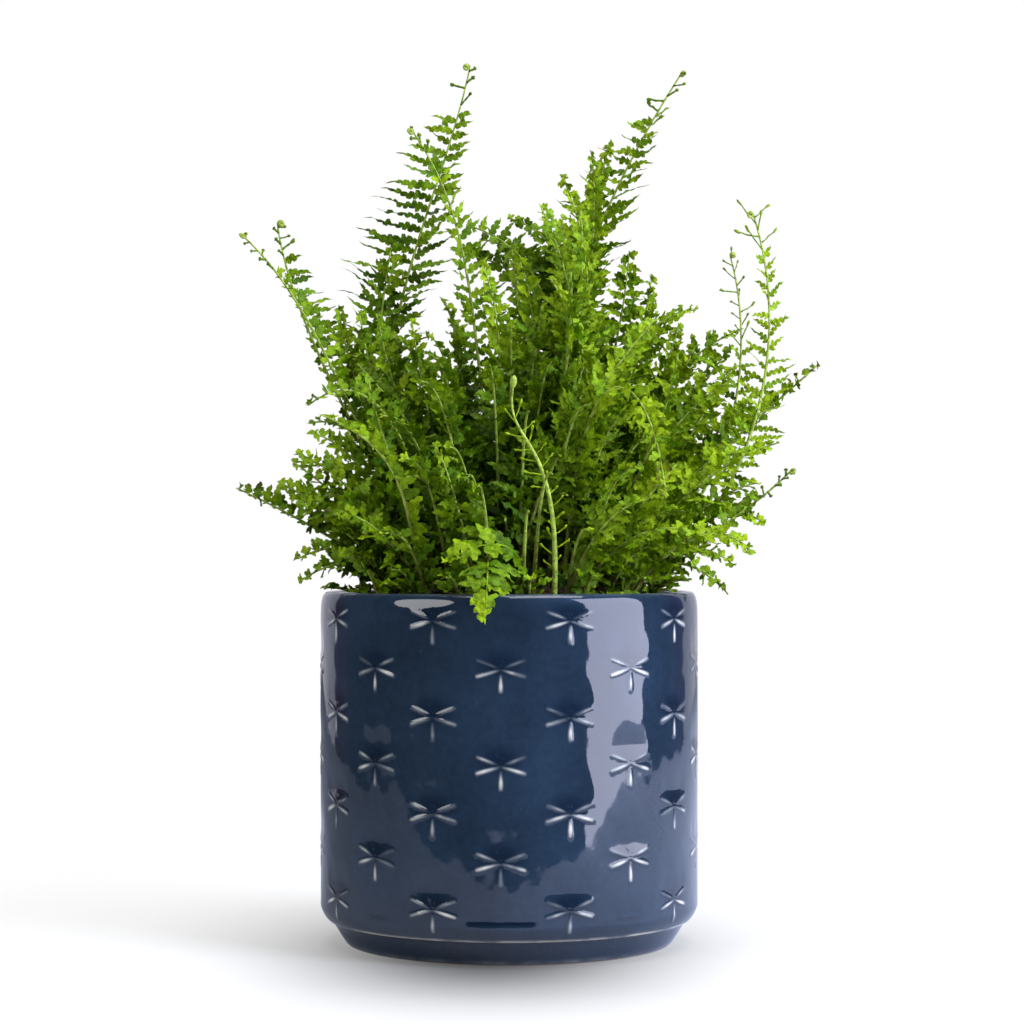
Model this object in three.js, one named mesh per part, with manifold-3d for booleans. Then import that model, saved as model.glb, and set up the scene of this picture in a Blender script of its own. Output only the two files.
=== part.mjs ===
// A potted fern with ruffled fronds, in a round glazed pot with pressed dragonflies.
// Millimetres, +Z up, front at -Y. The origin is the middle of the pot's underside.

import * as THREE from "three";
import { mergeVertices } from "three/addons/utils/BufferGeometryUtils.js";
import Module from "manifold-3d";

const wasm = await Module();
wasm.setup();

// Driving dimensions of the pot
const POT = {
  radius: 70,
  height: 130,
  wall: 5.5,
  floor: 8,
  footBottomRadius: 60.4,
  footTopRadius: 65.9,
  footHeight: 8.9,
  stepFillet: 5,
  lipRadius: 2.2,
  innerFillet: 6,
  sides: 36,
  cornerSteps: 2,
  stepSteps: 3,
  stepStart: -65,
};

// The dragonflies stand in columns. Every second column is set half a row lower and has one fewer.
const DRAGONFLY = {
  columns: 18,
  turn: -2.3,
  topRow: 120.6,
  rowPitch: 33.5,
  longColumnRows: 4,
  relief: 0.9,
  sink: 0.25,
  rootDepth: 2,
  // Tips of the wings and tail, with the hollows between them, across and up from the body's middle
  outline: [
    [12.4, 4.4],
    [2.6, 0.2],
    [12.4, -3.3],
    [1.4, -1.9],
    [0, -8],
    [-1.4, -1.9],
    [-12.4, -3.3],
    [-2.6, 0.2],
    [-12.4, 4.4],
    [0, 1.7],
  ],
};

// Driving dimensions of the soil and the fronds
const SOIL = { crown: 134, edge: 123, gap: 0.35, rings: [18, 36, 52], sides: 18, chamfer: 0.3, holeRise: 8 };
const LEAF = {
  thickness: 0.7,
  pitch: 11.5,
  neighbourGap: 0.35,
  ribHalfWidth: 0.95,
  ribTipHalfWidth: 0.45,
  keel: 1.3,
  tipKeel: 0.5,
  rootDepth: 10,
  rootRise: 1.2,
  stemPitch: 26,
  rootSweep: 12,
  tipSweep: 44,
  stoutest: 0.62,
  leastStep: 0.9,
  lobedFrom: 15,
  tries: [1, 0.8, 0.6, 0.42, 0.28],
  shortest: 2.2,
  leastPairs: 3,
  leastStemSteps: 2,
  pointLength: 3,
};
// Length of the leaflets as a share of the longest, at the root, where they are longest, and at the tip
const TAPER = { root: 0.5, widestAt: 0.25, tip: 0.13, power: 1.3 };
const YOUNG = {
  pitch: 12,
  stubHalfWidth: 1.1,
  shortest: 0.5,
  hookRadius: 2.6,
  hookTurn: 200,
  hookSteps: 5,
};

// Fronds that give the plant its outline. Each stem is a cubic curve from its base in the soil, by two
// handles, to its tip. faces is where the blade's upper face looks, in degrees from +X, and lift how
// much it also looks up. fold is how far both rows of leaflets stand up from flat, in degrees. width is
// the longest leaflet, and bare the share of the stem with no leaflets.
const NAMED_FRONDS = [
  // name, base, first handle, second handle, tip, faces, lift, fold, width, bare
  ["tall_left", [-27, 17], [-71, 30, 205], [-28, 32, 269], [-15, 24, 329], -95, 0.2, 8, 26, 0.47],
  ["second_left", [0, 6], [-16, 4, 215], [-8, 0, 262], [-36, -2, 301], -65, 0.3, 14, 15, 0.4],
  ["tall_right", [6, 20], [8, 22, 198], [23, 20, 260], [65, 13, 325], -120, 0.4, 14, 24, 0.44],
  ["left_long", [-24, 4], [-56, -2, 178], [-66, -8, 232], [-98, -10, 261], -50, 0.8, 12, 17, 0.3],
  ["left_behind", [-24, 11], [-54, 16, 178], [-84, 20, 236], [-88, 20, 269], -60, 0.4, 14, 20, 0.34],
  ["left_arm", [-26, -12], [-34, -16, 196], [-54, -20, 214], [-73, -22, 198], -70, 1.2, 25, 14, 0.36],
  ["left_dark", [-14, -12], [-18, -14, 172], [-36, -10, 192], [-56, -6, 214], -70, 0.8, 14, 16, 0.3],
  ["left_middle", [-32, -22], [-44, -26, 150], [-58, -29, 174], [-76, -30, 180], -70, 1, 18, 17, 0.24],
  ["left_point", [-37, -7], [-52, -9, 142], [-74, -11, 156], [-100, -12, 168], -70, 1, 30, 14, 0.26],
  ["left_low", [-39, 6], [-52, 6, 146], [-64, 5, 150], [-79, 4, 142], -60, 1.6, 16, 14, 0.3],
  ["left_rim", [-42, -17], [-52, -18, 143], [-64, -18, 143], [-76, -19, 134], -60, 1.6, 14, 9, 0.34],
  ["left_arch", [-30, -36], [-38, -48, 162], [-34, -50, 180], [-66, -50, 193], 20, 0.6, 40, 9, 0.26],
  ["front_leaf", [7, -42], [5, -56, 152], [-8, -63, 150], [-22, -67, 141], -90, 1.2, 6, 12, 0.28],
  ["front_hang", [-8, -43], [-7, -60, 150], [-7, -76, 142], [-8, -80, 122], -90, 0.8, 4, 11, 0.45],
  ["arch_front", [20, -30], [24, -38, 226], [50, -50, 216], [55, -56, 165], -100, 1.2, 22, 14, 0.34],
  ["centre_cross", [3, -33], [8, -36, 172], [28, -38, 198], [52, -34, 228], -80, 0.5, 16, 17, 0.28],
  ["centre_bright", [16, -20], [34, -26, 170], [34, -30, 215], [15, -32, 243], -20, 0.4, 34, 13, 0.34],
  ["centre_up", [-2, -18], [3, -19, 168], [8, -20, 206], [12, -22, 234], -110, 0.4, 14, 17, 0.3],
  ["centre_tall", [15, -8], [34, -8, 190], [26, -6, 244], [12, -4, 272], -80, 0.4, 14, 19, 0.42],
  ["centre_dark", [4, 12], [22, 14, 205], [26, 16, 256], [-16, 14, 268], -80, 0.6, 14, 23, 0.46],
  ["crown_front", [9, 1], [24, 0, 190], [40, -1, 240], [20, 0, 284], -75, 0.3, 16, 15, 0.48],
  ["crown_back", [12, 10], [20, 10, 195], [36, 8, 250], [31, 8, 294], -110, 0.3, 16, 14, 0.5],
  ["right_upright", [21, 26], [30, 30, 185], [44, 30, 225], [46, 30, 259], -95, 0.2, 10, 15, 0.36],
  ["right_upper", [17, 0], [24, -3, 190], [45, -6, 234], [69, -8, 234], -100, 0.9, 16, 18, 0.34],
  ["right_dark", [24, 11], [34, 13, 180], [58, 14, 216], [86, 14, 228], -100, 0.9, 16, 22, 0.32],
  ["right_brown", [28, 4], [50, 5, 158], [84, 6, 186], [116, 6, 215], -110, 0.8, 30, 14, 0.3],
  ["right_long", [35, -14], [50, -18, 150], [72, -20, 178], [97, -22, 184], -100, 1, 16, 17, 0.26],
  ["right_middle", [40, -24], [58, -27, 142], [84, -28, 156], [102, -29, 174], -100, 1, 18, 11, 0.26],
  ["right_shelf", [38, 3], [54, 2, 156], [74, 0, 168], [94, -2, 156], -100, 1.4, 16, 17, 0.3],
  ["right_low", [43, -33], [58, -35, 150], [74, -36, 158], [87, -36, 145], -90, 1.4, 14, 14, 0.3],
  ["right_rim", [46, -6], [56, -7, 145], [68, -8, 143], [80, -9, 130], -100, 1.4, 18, 8, 0.4],
  ["right_small", [45, 9], [58, 9, 148], [72, 9, 150], [84, 9, 140], -100, 1.6, 16, 13, 0.3],
  ["front_right", [29, -36], [36, -40, 146], [48, -44, 164], [60, -46, 176], -90, 1, 14, 15, 0.24],
  ["front_fill", [21, -43], [26, -48, 146], [36, -53, 160], [47, -56, 163], -90, 1.2, 14, 14, 0.28],
  // This one stands crosswise, and gives the bush its body from the sides and the back
  ["cross_back", [8, 28], [14, 40, 180], [18, 56, 215], [14, 66, 242], 174, 0.4, 12, 19, 0.34],
];
// Young fronds: thin, with short knobbed leaflets
const YOUNG_FRONDS = [
  ["young_tall", [40, -11], [75, -12, 140], [110, -12, 205], [90, -10, 269], -90, 0.3, 0, 10, 0.42],
  ["young_right", [31, 20], [84, 22, 150], [96, 22, 215], [84, 20, 257], -90, 0.3, 0, 8, 0.52],
  ["young_front", [16, -49], [19, -57, 190], [-2, -58, 180], [1.4, -58, 202], -90, 0.3, 0, 8, 0.12],
];
// Fronds whose left and right leaflets differ: their share of the width, and their sweep in degrees
const UNEVEN = {
  tall_left: { shares: [1, 0.65], sweeps: [-8, 32] },
  tall_right: { shares: [1, 0.45], sweeps: [-14, 52] },
  left_long: { shares: [0.4, 0.75], sweeps: [24, 0] },
  left_behind: { shares: [0.4, 1], sweeps: [30, -4] },
  left_point: { shares: [0.4, 1.1], sweeps: [20, 20] },
  left_low: { shares: [0.55, 1], sweeps: [20, 20] },
  left_arm: { shares: [0.5, 1], sweeps: [20, 10] },
  centre_dark: { shares: [0.8, 1], sweeps: [-4, -12] },
  right_brown: { shares: [1, 0.6], sweeps: [20, 24] },
  right_middle: { shares: [0.9, 0.5], sweeps: [24, 24] },
};
const CURLED = ["tall_left", "second_left", "tall_right", "left_long", "left_behind", "right_middle"];

// Rings of fronds that fill the bush. from and step place a ring's fronds round the crown, in degrees. base
// and reach are how far foot and tip stand from the middle, and arch is how much the stem bows, from 0 to 1.
const RINGS = [
  // name, count, from, step, base, reach, top, width, bare, arch
  ["heart", 4, 147, 62, 14, 32, 232, 16, 0.4, 0.1],
  ["middle", 5, 30, 52, 27, 60, 206, 16, 0.34, 0.25],
  ["back", 5, 24, 33, 35, 86, 190, 17, 0.3, 0.4],
  ["back_low", 4, 36, 35, 44, 82, 150, 14, 0.32, 0.7],
  ["front_low", 2, -128, 26, 36, 66, 166, 14, 0.26, 0.5],
];
const RING_FOLD = 16;
const RING_LIFT = 2.5;
const JITTER = { turn: 7, top: 9, reach: 5 };
// First numbers of the draws for a ring frond's turn, top and reach
const DRAWS = { turn: 1, top: 101, reach: 201, perRing: 10 };
// A handle's share of the way out and up to the tip: with no arch, and what a full arch adds
const BOW = { riseOut: [0.1, 0.3], riseUp: [0.55, 0.3], bendOut: [0.5, 0.2], bendUp: [0.92, 0.4] };

const MATERIALS = {
  pot: new THREE.MeshStandardMaterial({ color: 0x24354e, roughness: 0.12, metalness: 0 }),
  soil: new THREE.MeshStandardMaterial({ color: 0x2b1d14, roughness: 0.95, metalness: 0 }),
  leaf: new THREE.MeshStandardMaterial({ color: 0x4f8a1c, roughness: 0.5, metalness: 0 }),
  young: new THREE.MeshStandardMaterial({ color: 0x8fb54a, roughness: 0.5, metalness: 0 }),
};

const radians = (degrees) => (degrees * Math.PI) / 180;
const UP = new THREE.Vector3(0, 0, 1);

// A draw from 0 to 1 that is the same for the same number on every run
function draw(seed) {
  const wave = Math.sin(seed * 12.9898) * 43758.5453;
  return wave - Math.floor(wave);
}

// Turns a closed three.js geometry into a solid that can be cut and joined
function solidOf(geometry) {
  const bare = geometry.clone();
  bare.deleteAttribute("normal");
  bare.deleteAttribute("uv");
  const merged = mergeVertices(bare, 1e-4);
  return new wasm.Manifold(
    new wasm.Mesh({
      numProp: 3,
      vertProperties: merged.attributes.position.array,
      triVerts: new Uint32Array(merged.index.array),
    }),
  );
}

// Turns a solid back into a three.js geometry
function geometryOf(solid) {
  const mesh = solid.getMesh();
  const geometry = new THREE.BufferGeometry();
  geometry.setAttribute("position", new THREE.BufferAttribute(mesh.vertProperties, mesh.numProp));
  geometry.setIndex(new THREE.BufferAttribute(mesh.triVerts, 1));
  geometry.computeVertexNormals();
  return geometry;
}

// A geometry from a list of points and a list of triangles
function geometryFrom(points, triangles) {
  const geometry = new THREE.BufferGeometry().setFromPoints(points);
  geometry.setIndex(triangles.flat());
  geometry.computeVertexNormals();
  return geometry;
}

// A lathe about +Z from a profile of [radius, height] pairs that runs from the axis to the axis
function latheUp(profile, sides) {
  const points = profile.map(([radius, height]) => new THREE.Vector2(radius, height));
  return new THREE.LatheGeometry(points, sides, radians(90 + DRAGONFLY.turn)).rotateX(Math.PI / 2);
}

// Points on a rounded corner, from one angle to another, in a profile
function corner(radius, height, size, from, to, steps) {
  return Array.from({ length: steps + 1 }, (_, i) => {
    const angle = radians(from + ((to - from) * i) / steps);
    return [radius + size * Math.cos(angle), height + size * Math.sin(angle)];
  });
}

function potProfile() {
  const { radius, height, wall, floor, footBottomRadius, footTopRadius, footHeight } = POT;
  const { stepFillet, lipRadius, innerFillet, cornerSteps, stepSteps, stepStart } = POT;
  const inner = radius - wall;
  return [
    [0, 0],
    [footBottomRadius, 0],
    [footTopRadius, footHeight],
    ...corner(radius - stepFillet, footHeight + stepFillet, stepFillet, stepStart, 0, stepSteps),
    ...corner(radius - lipRadius, height - lipRadius, lipRadius, 0, 90, cornerSteps),
    ...corner(inner + lipRadius, height - lipRadius, lipRadius, 90, 180, cornerSteps),
    ...corner(inner - innerFillet, floor + innerFillet, innerFillet, 0, -90, cornerSteps),
    [0, floor],
  ];
}

// One dragonfly as a low ridged star, its points sunk under the wall and its body raised from it
function dragonfly(angle, height) {
  const at = (across, up, radius) => {
    const turned = angle + across / POT.radius;
    return new THREE.Vector3(radius * Math.cos(turned), radius * Math.sin(turned), height + up);
  };
  const { outline, relief, sink, rootDepth } = DRAGONFLY;
  const points = outline.map(([across, up]) => at(across, up, POT.radius - sink));
  points.push(at(0, 0, POT.radius + relief), at(0, 0, POT.radius - rootDepth));
  const [crest, root] = [outline.length, outline.length + 1];
  const triangles = outline.flatMap((_, i) => {
    const next = (i + 1) % outline.length;
    return [
      [next, i, crest],
      [i, next, root],
    ];
  });
  return solidOf(geometryFrom(points, triangles));
}

function pot() {
  const { columns, turn, topRow, rowPitch, longColumnRows } = DRAGONFLY;
  const body = solidOf(latheUp(potProfile(), POT.sides));
  const stamps = [];
  for (let column = 0; column < columns; column++) {
    const angle = radians(-90 + turn + (column * 360) / columns);
    const isShort = column % 2 === 0;
    const rows = longColumnRows - (isShort ? 1 : 0);
    const first = topRow - (isShort ? rowPitch / 2 : 0);
    for (let row = 0; row < rows; row++) stamps.push(dragonfly(angle, first - row * rowPitch));
  }
  return stamps.reduce((all, stamp) => all.add(stamp), body);
}

// Height of the soil's domed top at a distance from the middle
function soilTop(distance) {
  const inner = POT.radius - POT.wall;
  return SOIL.crown - (SOIL.crown - SOIL.edge) * (distance / inner) ** 2;
}

function soil(fronds) {
  const rim = POT.radius - POT.wall - SOIL.gap;
  const bottom = POT.floor + SOIL.gap;
  const { innerFillet } = POT;
  const chamfer = SOIL.chamfer * innerFillet;
  const profile = [
    [0, bottom],
    [rim - innerFillet, bottom],
    [rim - chamfer, bottom + chamfer],
    [rim, bottom + innerFillet],
    [rim, soilTop(rim)],
    ...SOIL.rings.toReversed().map((radius) => [radius, soilTop(radius)]),
    [0, soilTop(0)],
  ];
  const block = solidOf(latheUp(profile, SOIL.sides));
  return fronds.reduce((left, frond) => left.subtract(frondHole(frond)), block);
}

// The plain hole in the soil that a stem stands in
function frondHole(frond) {
  const foot = frond.stations[0];
  const clearance = SOIL.gap * 2;
  const width = 2 * foot.half + clearance;
  const depth = foot.keel + LEAF.thickness / 2 + clearance;
  const length = LEAF.rootDepth + LEAF.rootRise + SOIL.holeRise;
  const block = new THREE.BoxGeometry(depth, width, length);
  block.translate((LEAF.thickness / 2 - foot.keel) / 2, 0, length / 2 - SOIL.gap);
  const turned = new THREE.Matrix4().makeBasis(foot.face, foot.side, foot.along);
  block.applyMatrix4(turned.setPosition(foot.point));
  return solidOf(block);
}

// The stem's curve, from the soil to the tip
function stemCurve(frond) {
  const [x, y] = frond.base;
  const start = new THREE.Vector3(x, y, soilTop(Math.hypot(x, y)) + LEAF.rootRise);
  const [rise, bend, tip] = [frond.rise, frond.bend, frond.tip].map((p) => new THREE.Vector3(...p));
  return new THREE.CubicBezierCurve3(start, rise, bend, tip);
}

// A place on the stem: its point, the way it runs, its right side and its upper face
function place(point, along, looks) {
  const side = new THREE.Vector3().crossVectors(along, looks).normalize();
  const face = new THREE.Vector3().crossVectors(side, along).normalize();
  return { point, along: along.clone(), side, face };
}

// Distances along the stem where its section is drawn, with which stretches hold leaflets
function stemSteps(frond, length) {
  const leafy = length * frond.bare;
  const stem = Math.max(LEAF.leastStemSteps, Math.round(leafy / LEAF.stemPitch));
  const steps = Array.from({ length: stem + 1 }, (_, i) => ({ at: (leafy * i) / stem, leaf: false }));
  const pitch = frond.young ? YOUNG.pitch : LEAF.pitch;
  const pairs = Math.max(LEAF.leastPairs, Math.round((length - leafy) / pitch));
  const stretch = (length - leafy) / pairs;
  for (let i = 0; i < pairs; i++) {
    const share = (i + 0.5) / pairs;
    if (frond.young) {
      const middle = leafy + stretch * (i + 0.5);
      steps[steps.length - 1].leaf = false;
      steps.push({ at: middle - YOUNG.stubHalfWidth, leaf: true, share });
      steps.push({ at: middle + YOUNG.stubHalfWidth, leaf: false });
    } else {
      Object.assign(steps[steps.length - 1], { leaf: true, share });
      steps.push({ at: leafy + stretch * (i + 1), leaf: false });
    }
  }
  return steps;
}

// The sections of a stem, from the foot in the soil up to the tip
function stemStations(frond) {
  const curve = stemCurve(frond);
  const length = curve.getLength();
  const faces = radians(frond.faces);
  const looks = new THREE.Vector3(Math.cos(faces), Math.sin(faces), frond.lift).normalize();
  const stations = stemSteps(frond, length).map(({ at, leaf, share }) => {
    const part = Math.min(1, at / length);
    return {
      ...place(curve.getPointAt(part), curve.getTangentAt(part), looks),
      half: THREE.MathUtils.lerp(LEAF.ribHalfWidth, LEAF.ribTipHalfWidth, part),
      keel: THREE.MathUtils.lerp(LEAF.keel, LEAF.tipKeel, part),
      leaf,
      share,
    };
  });
  const first = stations[0];
  const foot = place(first.point.clone().addScaledVector(UP, -LEAF.rootDepth - LEAF.rootRise), UP, looks);
  Object.assign(first, place(first.point, UP.clone().add(first.along).normalize(), looks));
  stations.unshift({ ...first, ...foot, leaf: false });
  if (frond.curled) stations.push(...hook(stations[stations.length - 1]));
  return stations;
}

// The curled tip of a young frond, bent forward over its face
function hook(last) {
  const { hookRadius, hookTurn, hookSteps } = YOUNG;
  return Array.from({ length: hookSteps }, (_, i) => {
    const angle = radians((hookTurn * (i + 1)) / hookSteps);
    const point = last.point
      .clone()
      .addScaledVector(last.along, hookRadius * Math.sin(angle))
      .addScaledVector(last.face, hookRadius * (1 - Math.cos(angle)));
    const along = last.along
      .clone()
      .multiplyScalar(Math.cos(angle))
      .addScaledVector(last.face, Math.sin(angle));
    const face = last.face
      .clone()
      .multiplyScalar(Math.cos(angle))
      .addScaledVector(last.along, -Math.sin(angle));
    return { ...last, point, along, face, side: last.side, leaf: false };
  });
}

// How long a leaflet is, as a share of the frond's width, along the leafy part
function leafletShare(share) {
  const { root, widestAt, tip, power } = TAPER;
  if (share < widestAt) return root + (1 - root) * Math.sin((Math.PI / 2) * (share / widestAt));
  return 1 - (1 - tip) * ((share - widestAt) / (1 - widestAt)) ** power;
}

// The five corners of a stem's section: left and right edge, upper and lower, and the keel between
function section({ point, side, face, half, keel }) {
  const at = (across, up) => point.clone().addScaledVector(side, across).addScaledVector(face, up);
  const edge = LEAF.thickness / 2;
  return [at(-half, edge), at(half, edge), at(half, -edge), at(0, -keel), at(-half, -edge)];
}

// Outline of a leaflet as [share of its length, share of the pitch to either side], from the root out
const SMALL_LEAFLET = { rear: [[0.16, 0.18]], front: [[0.46, 0.28]] };
const LOBED_LEAFLET = {
  rear: [
    [0.14, 0.2],
    [0.52, 0.24],
  ],
  front: [
    [0.3, 0.36],
    [0.62, 0.12],
  ],
};
const STUB = { rear: [[0.8, 0.5]], front: [[0.8, 0.5]] };

// The points of a leaflet between two stations. hand is 1 on the right and -1 on the left.
function leafletPoints(frond, lower, upper, hand, length, extra = 0) {
  const usual = LEAF.rootSweep + (LEAF.tipSweep - LEAF.rootSweep) * lower.share;
  const sweep = radians(frond.uneven ? frond.uneven.sweeps[hand > 0 ? 1 : 0] : usual);
  const fold = radians(frond.fold);
  const outward = lower.side.clone().multiplyScalar(hand * Math.cos(sweep));
  outward.addScaledVector(lower.along, Math.sin(sweep)).multiplyScalar(Math.cos(fold));
  outward.addScaledVector(lower.face, Math.sin(fold));
  const normal = new THREE.Vector3().crossVectors(outward, lower.along).multiplyScalar(hand).normalize();
  const across = new THREE.Vector3().crossVectors(normal, outward).multiplyScalar(hand).normalize();
  const start = lower.point.clone().add(upper.point).multiplyScalar(0.5);
  start.addScaledVector(lower.side, hand * lower.half);
  const pitch = lower.point.distanceTo(upper.point);
  const lobed = frond.lobed && length > LEAF.lobedFrom;
  const shape = frond.young ? STUB : lobed ? LOBED_LEAFLET : SMALL_LEAFLET;
  const width = frond.young ? pitch : Math.min(pitch, LEAF.stoutest * length);
  const at = ([out, over], grow) =>
    start
      .clone()
      .addScaledVector(outward, Math.max(out * length, LEAF.leastStep))
      .addScaledVector(across, over * width + grow);
  return {
    rear: shape.rear.map(([out, over]) => at([out, -over], -extra)),
    front: shape.front.map((step) => at(step, extra)),
    tip: at([1 + extra / length, 0], 0),
    normal,
  };
}

// Adds a leaflet to a mesh. The roots are pairs of point numbers, upper then lower, and the leaflet
// grows out between its rear root and its front root as one thin plate. Seen from above the outline runs
// rear, tip, front on the right of the stem, and front, tip, rear on the left.
function addLeaflet(mesh, hand, rearRoot, frontRoot, { rear, front, tip, normal }, thickness) {
  const pair = (point) => {
    mesh.points.push(point.clone().addScaledVector(normal, thickness / 2));
    mesh.points.push(point.clone().addScaledVector(normal, -thickness / 2));
    return [mesh.points.length - 2, mesh.points.length - 1];
  };
  const rearEdge = [rearRoot, ...rear.map(pair)];
  const frontEdge = [frontRoot, ...front.map(pair)];
  const end = pair(tip);
  // Each cut across the leaflet starts at the rear edge's outer point, where the outline has its notch
  for (let i = 0; i + 1 < rearEdge.length; i++) {
    addPlate(mesh, hand, [rearEdge[i], rearEdge[i + 1], frontEdge[i]]);
    addPlate(mesh, hand, [rearEdge[i + 1], frontEdge[i + 1], frontEdge[i]]);
  }
  addPlate(mesh, hand, [rearEdge[rearEdge.length - 1], end, frontEdge[frontEdge.length - 1]]);
  const outline = [...rearEdge, end, ...frontEdge.toReversed()];
  if (hand < 0) outline.reverse();
  for (let i = 0; i + 1 < outline.length; i++) addEdge(mesh, outline[i], outline[i + 1]);
}

// A plate's triangle on its upper and its lower face
function addPlate(mesh, hand, [a, b, c]) {
  const [upper, lower] = hand > 0 ? [0, 1] : [1, 0];
  mesh.triangles.push([a[upper], b[upper], c[upper]], [a[lower], c[lower], b[lower]]);
}

// Two triangles along a plate's edge, from one pair of points to the next
function addEdge(mesh, from, to) {
  mesh.triangles.push([from[0], from[1], to[1]], [from[0], to[1], to[0]]);
}

// Where a leaflet on one side joins two sections: the pairs at its rear and at its front
function leafletRoots(lower, upper, hand) {
  const [top, bottom] = hand > 0 ? [1, 2] : [0, 4];
  return [
    [lower + top, lower + bottom],
    [upper + top, upper + bottom],
  ];
}

// A stem with the leaflets it was given, as one closed mesh
function frondGeometry(stations, leaflets) {
  const mesh = { points: stations.flatMap(section), triangles: [] };
  const corners = 5;
  const last = (stations.length - 1) * corners;
  mesh.triangles.push([0, 4, 3], [0, 3, 2], [0, 2, 1]);
  for (let i = 0; i + 1 < stations.length; i++) {
    const [a, b] = [i * corners, (i + 1) * corners];
    for (const [from, to] of [
      [0, 1],
      [2, 3],
      [3, 4],
    ])
      addEdge(mesh, [a + from, a + to], [b + from, b + to]);
    for (const hand of [1, -1]) {
      const leaflet = leaflets.find((l) => l.station === i && l.hand === hand);
      const [rearRoot, frontRoot] = leafletRoots(a, b, hand);
      if (leaflet) addLeaflet(mesh, hand, rearRoot, frontRoot, leaflet.points, LEAF.thickness);
      else if (hand > 0) addEdge(mesh, rearRoot, frontRoot);
      else addEdge(mesh, frontRoot, rearRoot);
    }
  }
  const end = stations[stations.length - 1];
  mesh.points.push(end.point.clone().addScaledVector(end.along, LEAF.pointLength * end.half));
  for (let i = 0; i < corners; i++)
    mesh.triangles.push([last + i, last + ((i + 1) % corners), mesh.points.length - 1]);
  return geometryFrom(mesh.points, mesh.triangles);
}

// A leaflet on its own, a little larger all round, to see what it would come too near
function leafletProbe(frond, lower, upper, hand, length) {
  const gap = LEAF.neighbourGap;
  const points = leafletPoints(frond, lower, upper, hand, length, gap);
  const half = LEAF.thickness / 2 + gap;
  const roots = [lower, upper].flatMap(({ point, side, half: reach }) =>
    [half, -half].map((up) =>
      point.clone().addScaledVector(side, hand * reach).addScaledVector(points.normal, up),
    ),
  );
  const mesh = { points: roots, triangles: [] };
  const [rearRoot, frontRoot] = [
    [0, 1],
    [2, 3],
  ];
  addLeaflet(mesh, hand, rearRoot, frontRoot, points, 2 * half);
  if (hand > 0) addEdge(mesh, frontRoot, rearRoot);
  else addEdge(mesh, rearRoot, frontRoot);
  return solidOf(geometryFrom(mesh.points, mesh.triangles));
}

// A solid with its box, so that far ones are passed over quickly
function obstacle(solid, owner) {
  return { solid, owner, box: solid.boundingBox() };
}

function boxesMeet(a, b) {
  return [0, 1, 2].every((i) => a.min[i] <= b.max[i] && b.min[i] <= a.max[i]);
}

function isClear(probe, owner, obstacles) {
  const box = probe.boundingBox();
  return obstacles.every(
    (o) => o.owner === owner || !boxesMeet(box, o.box) || probe.intersect(o.solid).isEmpty(),
  );
}

// Grows a frond's leaflets, each as long as its neighbours leave room for
function growLeaflets(frond, obstacles) {
  const leaflets = [];
  frond.stations.forEach((lower, station) => {
    if (!lower.leaf) return;
    const upper = frond.stations[station + 1];
    const uneven = YOUNG.shortest + (1 - YOUNG.shortest) * draw(station);
    const full = frond.width * (frond.young ? uneven : leafletShare(lower.share));
    for (const hand of [1, -1]) {
      const most = frond.uneven ? full * frond.uneven.shares[hand > 0 ? 1 : 0] : full;
      for (const share of LEAF.tries) {
        const length = most * share;
        if (length < LEAF.shortest) break;
        const probe = leafletProbe(frond, lower, upper, hand, length);
        if (!isClear(probe, frond.name, obstacles)) continue;
        leaflets.push({ station, hand, points: leafletPoints(frond, lower, upper, hand, length) });
        obstacles.push(obstacle(probe, frond.name));
        break;
      }
    }
  });
  return leaflets;
}

// The fronds of one ring, each in the upright plane through the crown that its turn gives
function ringFronds([ringName, count, from, step, base, ringReach, ringTop, width, bare, arch], ring) {
  return Array.from({ length: count }, (_, i) => {
    const seed = DRAWS.perRing * ring + i;
    const spread = (most, first) => most * (2 * draw(first + seed) - 1);
    const turn = from + step * i + spread(JITTER.turn, DRAWS.turn);
    const top = ringTop + spread(JITTER.top, DRAWS.top);
    const reach = ringReach + spread(JITTER.reach, DRAWS.reach);
    const at = (distance, height) => [
      distance * Math.cos(radians(turn)),
      distance * Math.sin(radians(turn)),
      height,
    ];
    const ground = soilTop(base);
    const part = ([straight, added]) => straight + added * arch;
    const handle = (out, up) => at(base + part(out) * (reach - base), ground + part(up) * (top - ground));
    return {
      name: `${ringName}_${i + 1}`,
      base: at(base, ground),
      rise: handle(BOW.riseOut, BOW.riseUp),
      bend: handle(BOW.bendOut, BOW.bendUp),
      tip: at(reach, top),
      faces: turn + 180,
      lift: RING_LIFT,
      fold: RING_FOLD,
      width,
      bare,
    };
  });
}

function mesh(name, geometry, material) {
  const made = new THREE.Mesh(geometry, material);
  made.name = name;
  return made;
}

// A row of a table as a frond with named parts
function frondOf([name, base, rise, bend, tip, faces, lift, fold, width, bare]) {
  const curled = CURLED.includes(name);
  return { name, base, rise, bend, tip, faces, lift, fold, width, bare, curled, uneven: UNEVEN[name] };
}

const fronds = [
  ...NAMED_FRONDS.map((row) => ({ ...frondOf(row), lobed: true })),
  ...YOUNG_FRONDS.map((row) => ({ ...frondOf(row), young: true, curled: true })),
  ...RINGS.flatMap((ring, i) => ringFronds(ring, i)),
].map((frond) => ({ ...frond, name: `frond_${frond.name}`, stations: stemStations(frond) }));

const potSolid = pot();
const soilSolid = soil(fronds);
const obstacles = [
  obstacle(potSolid, "pot"),
  obstacle(soilSolid, "soil"),
  ...fronds.map((frond) => obstacle(solidOf(frondGeometry(frond.stations, [])), frond.name)),
];

const plant = new THREE.Group();
plant.add(mesh("pot", geometryOf(potSolid), MATERIALS.pot));
plant.add(mesh("soil", geometryOf(soilSolid), MATERIALS.soil));
for (const frond of fronds) {
  const geometry = frondGeometry(frond.stations, growLeaflets(frond, obstacles));
  plant.add(mesh(frond.name, geometry, frond.young ? MATERIALS.young : MATERIALS.leaf));
}

export default plant;
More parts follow.
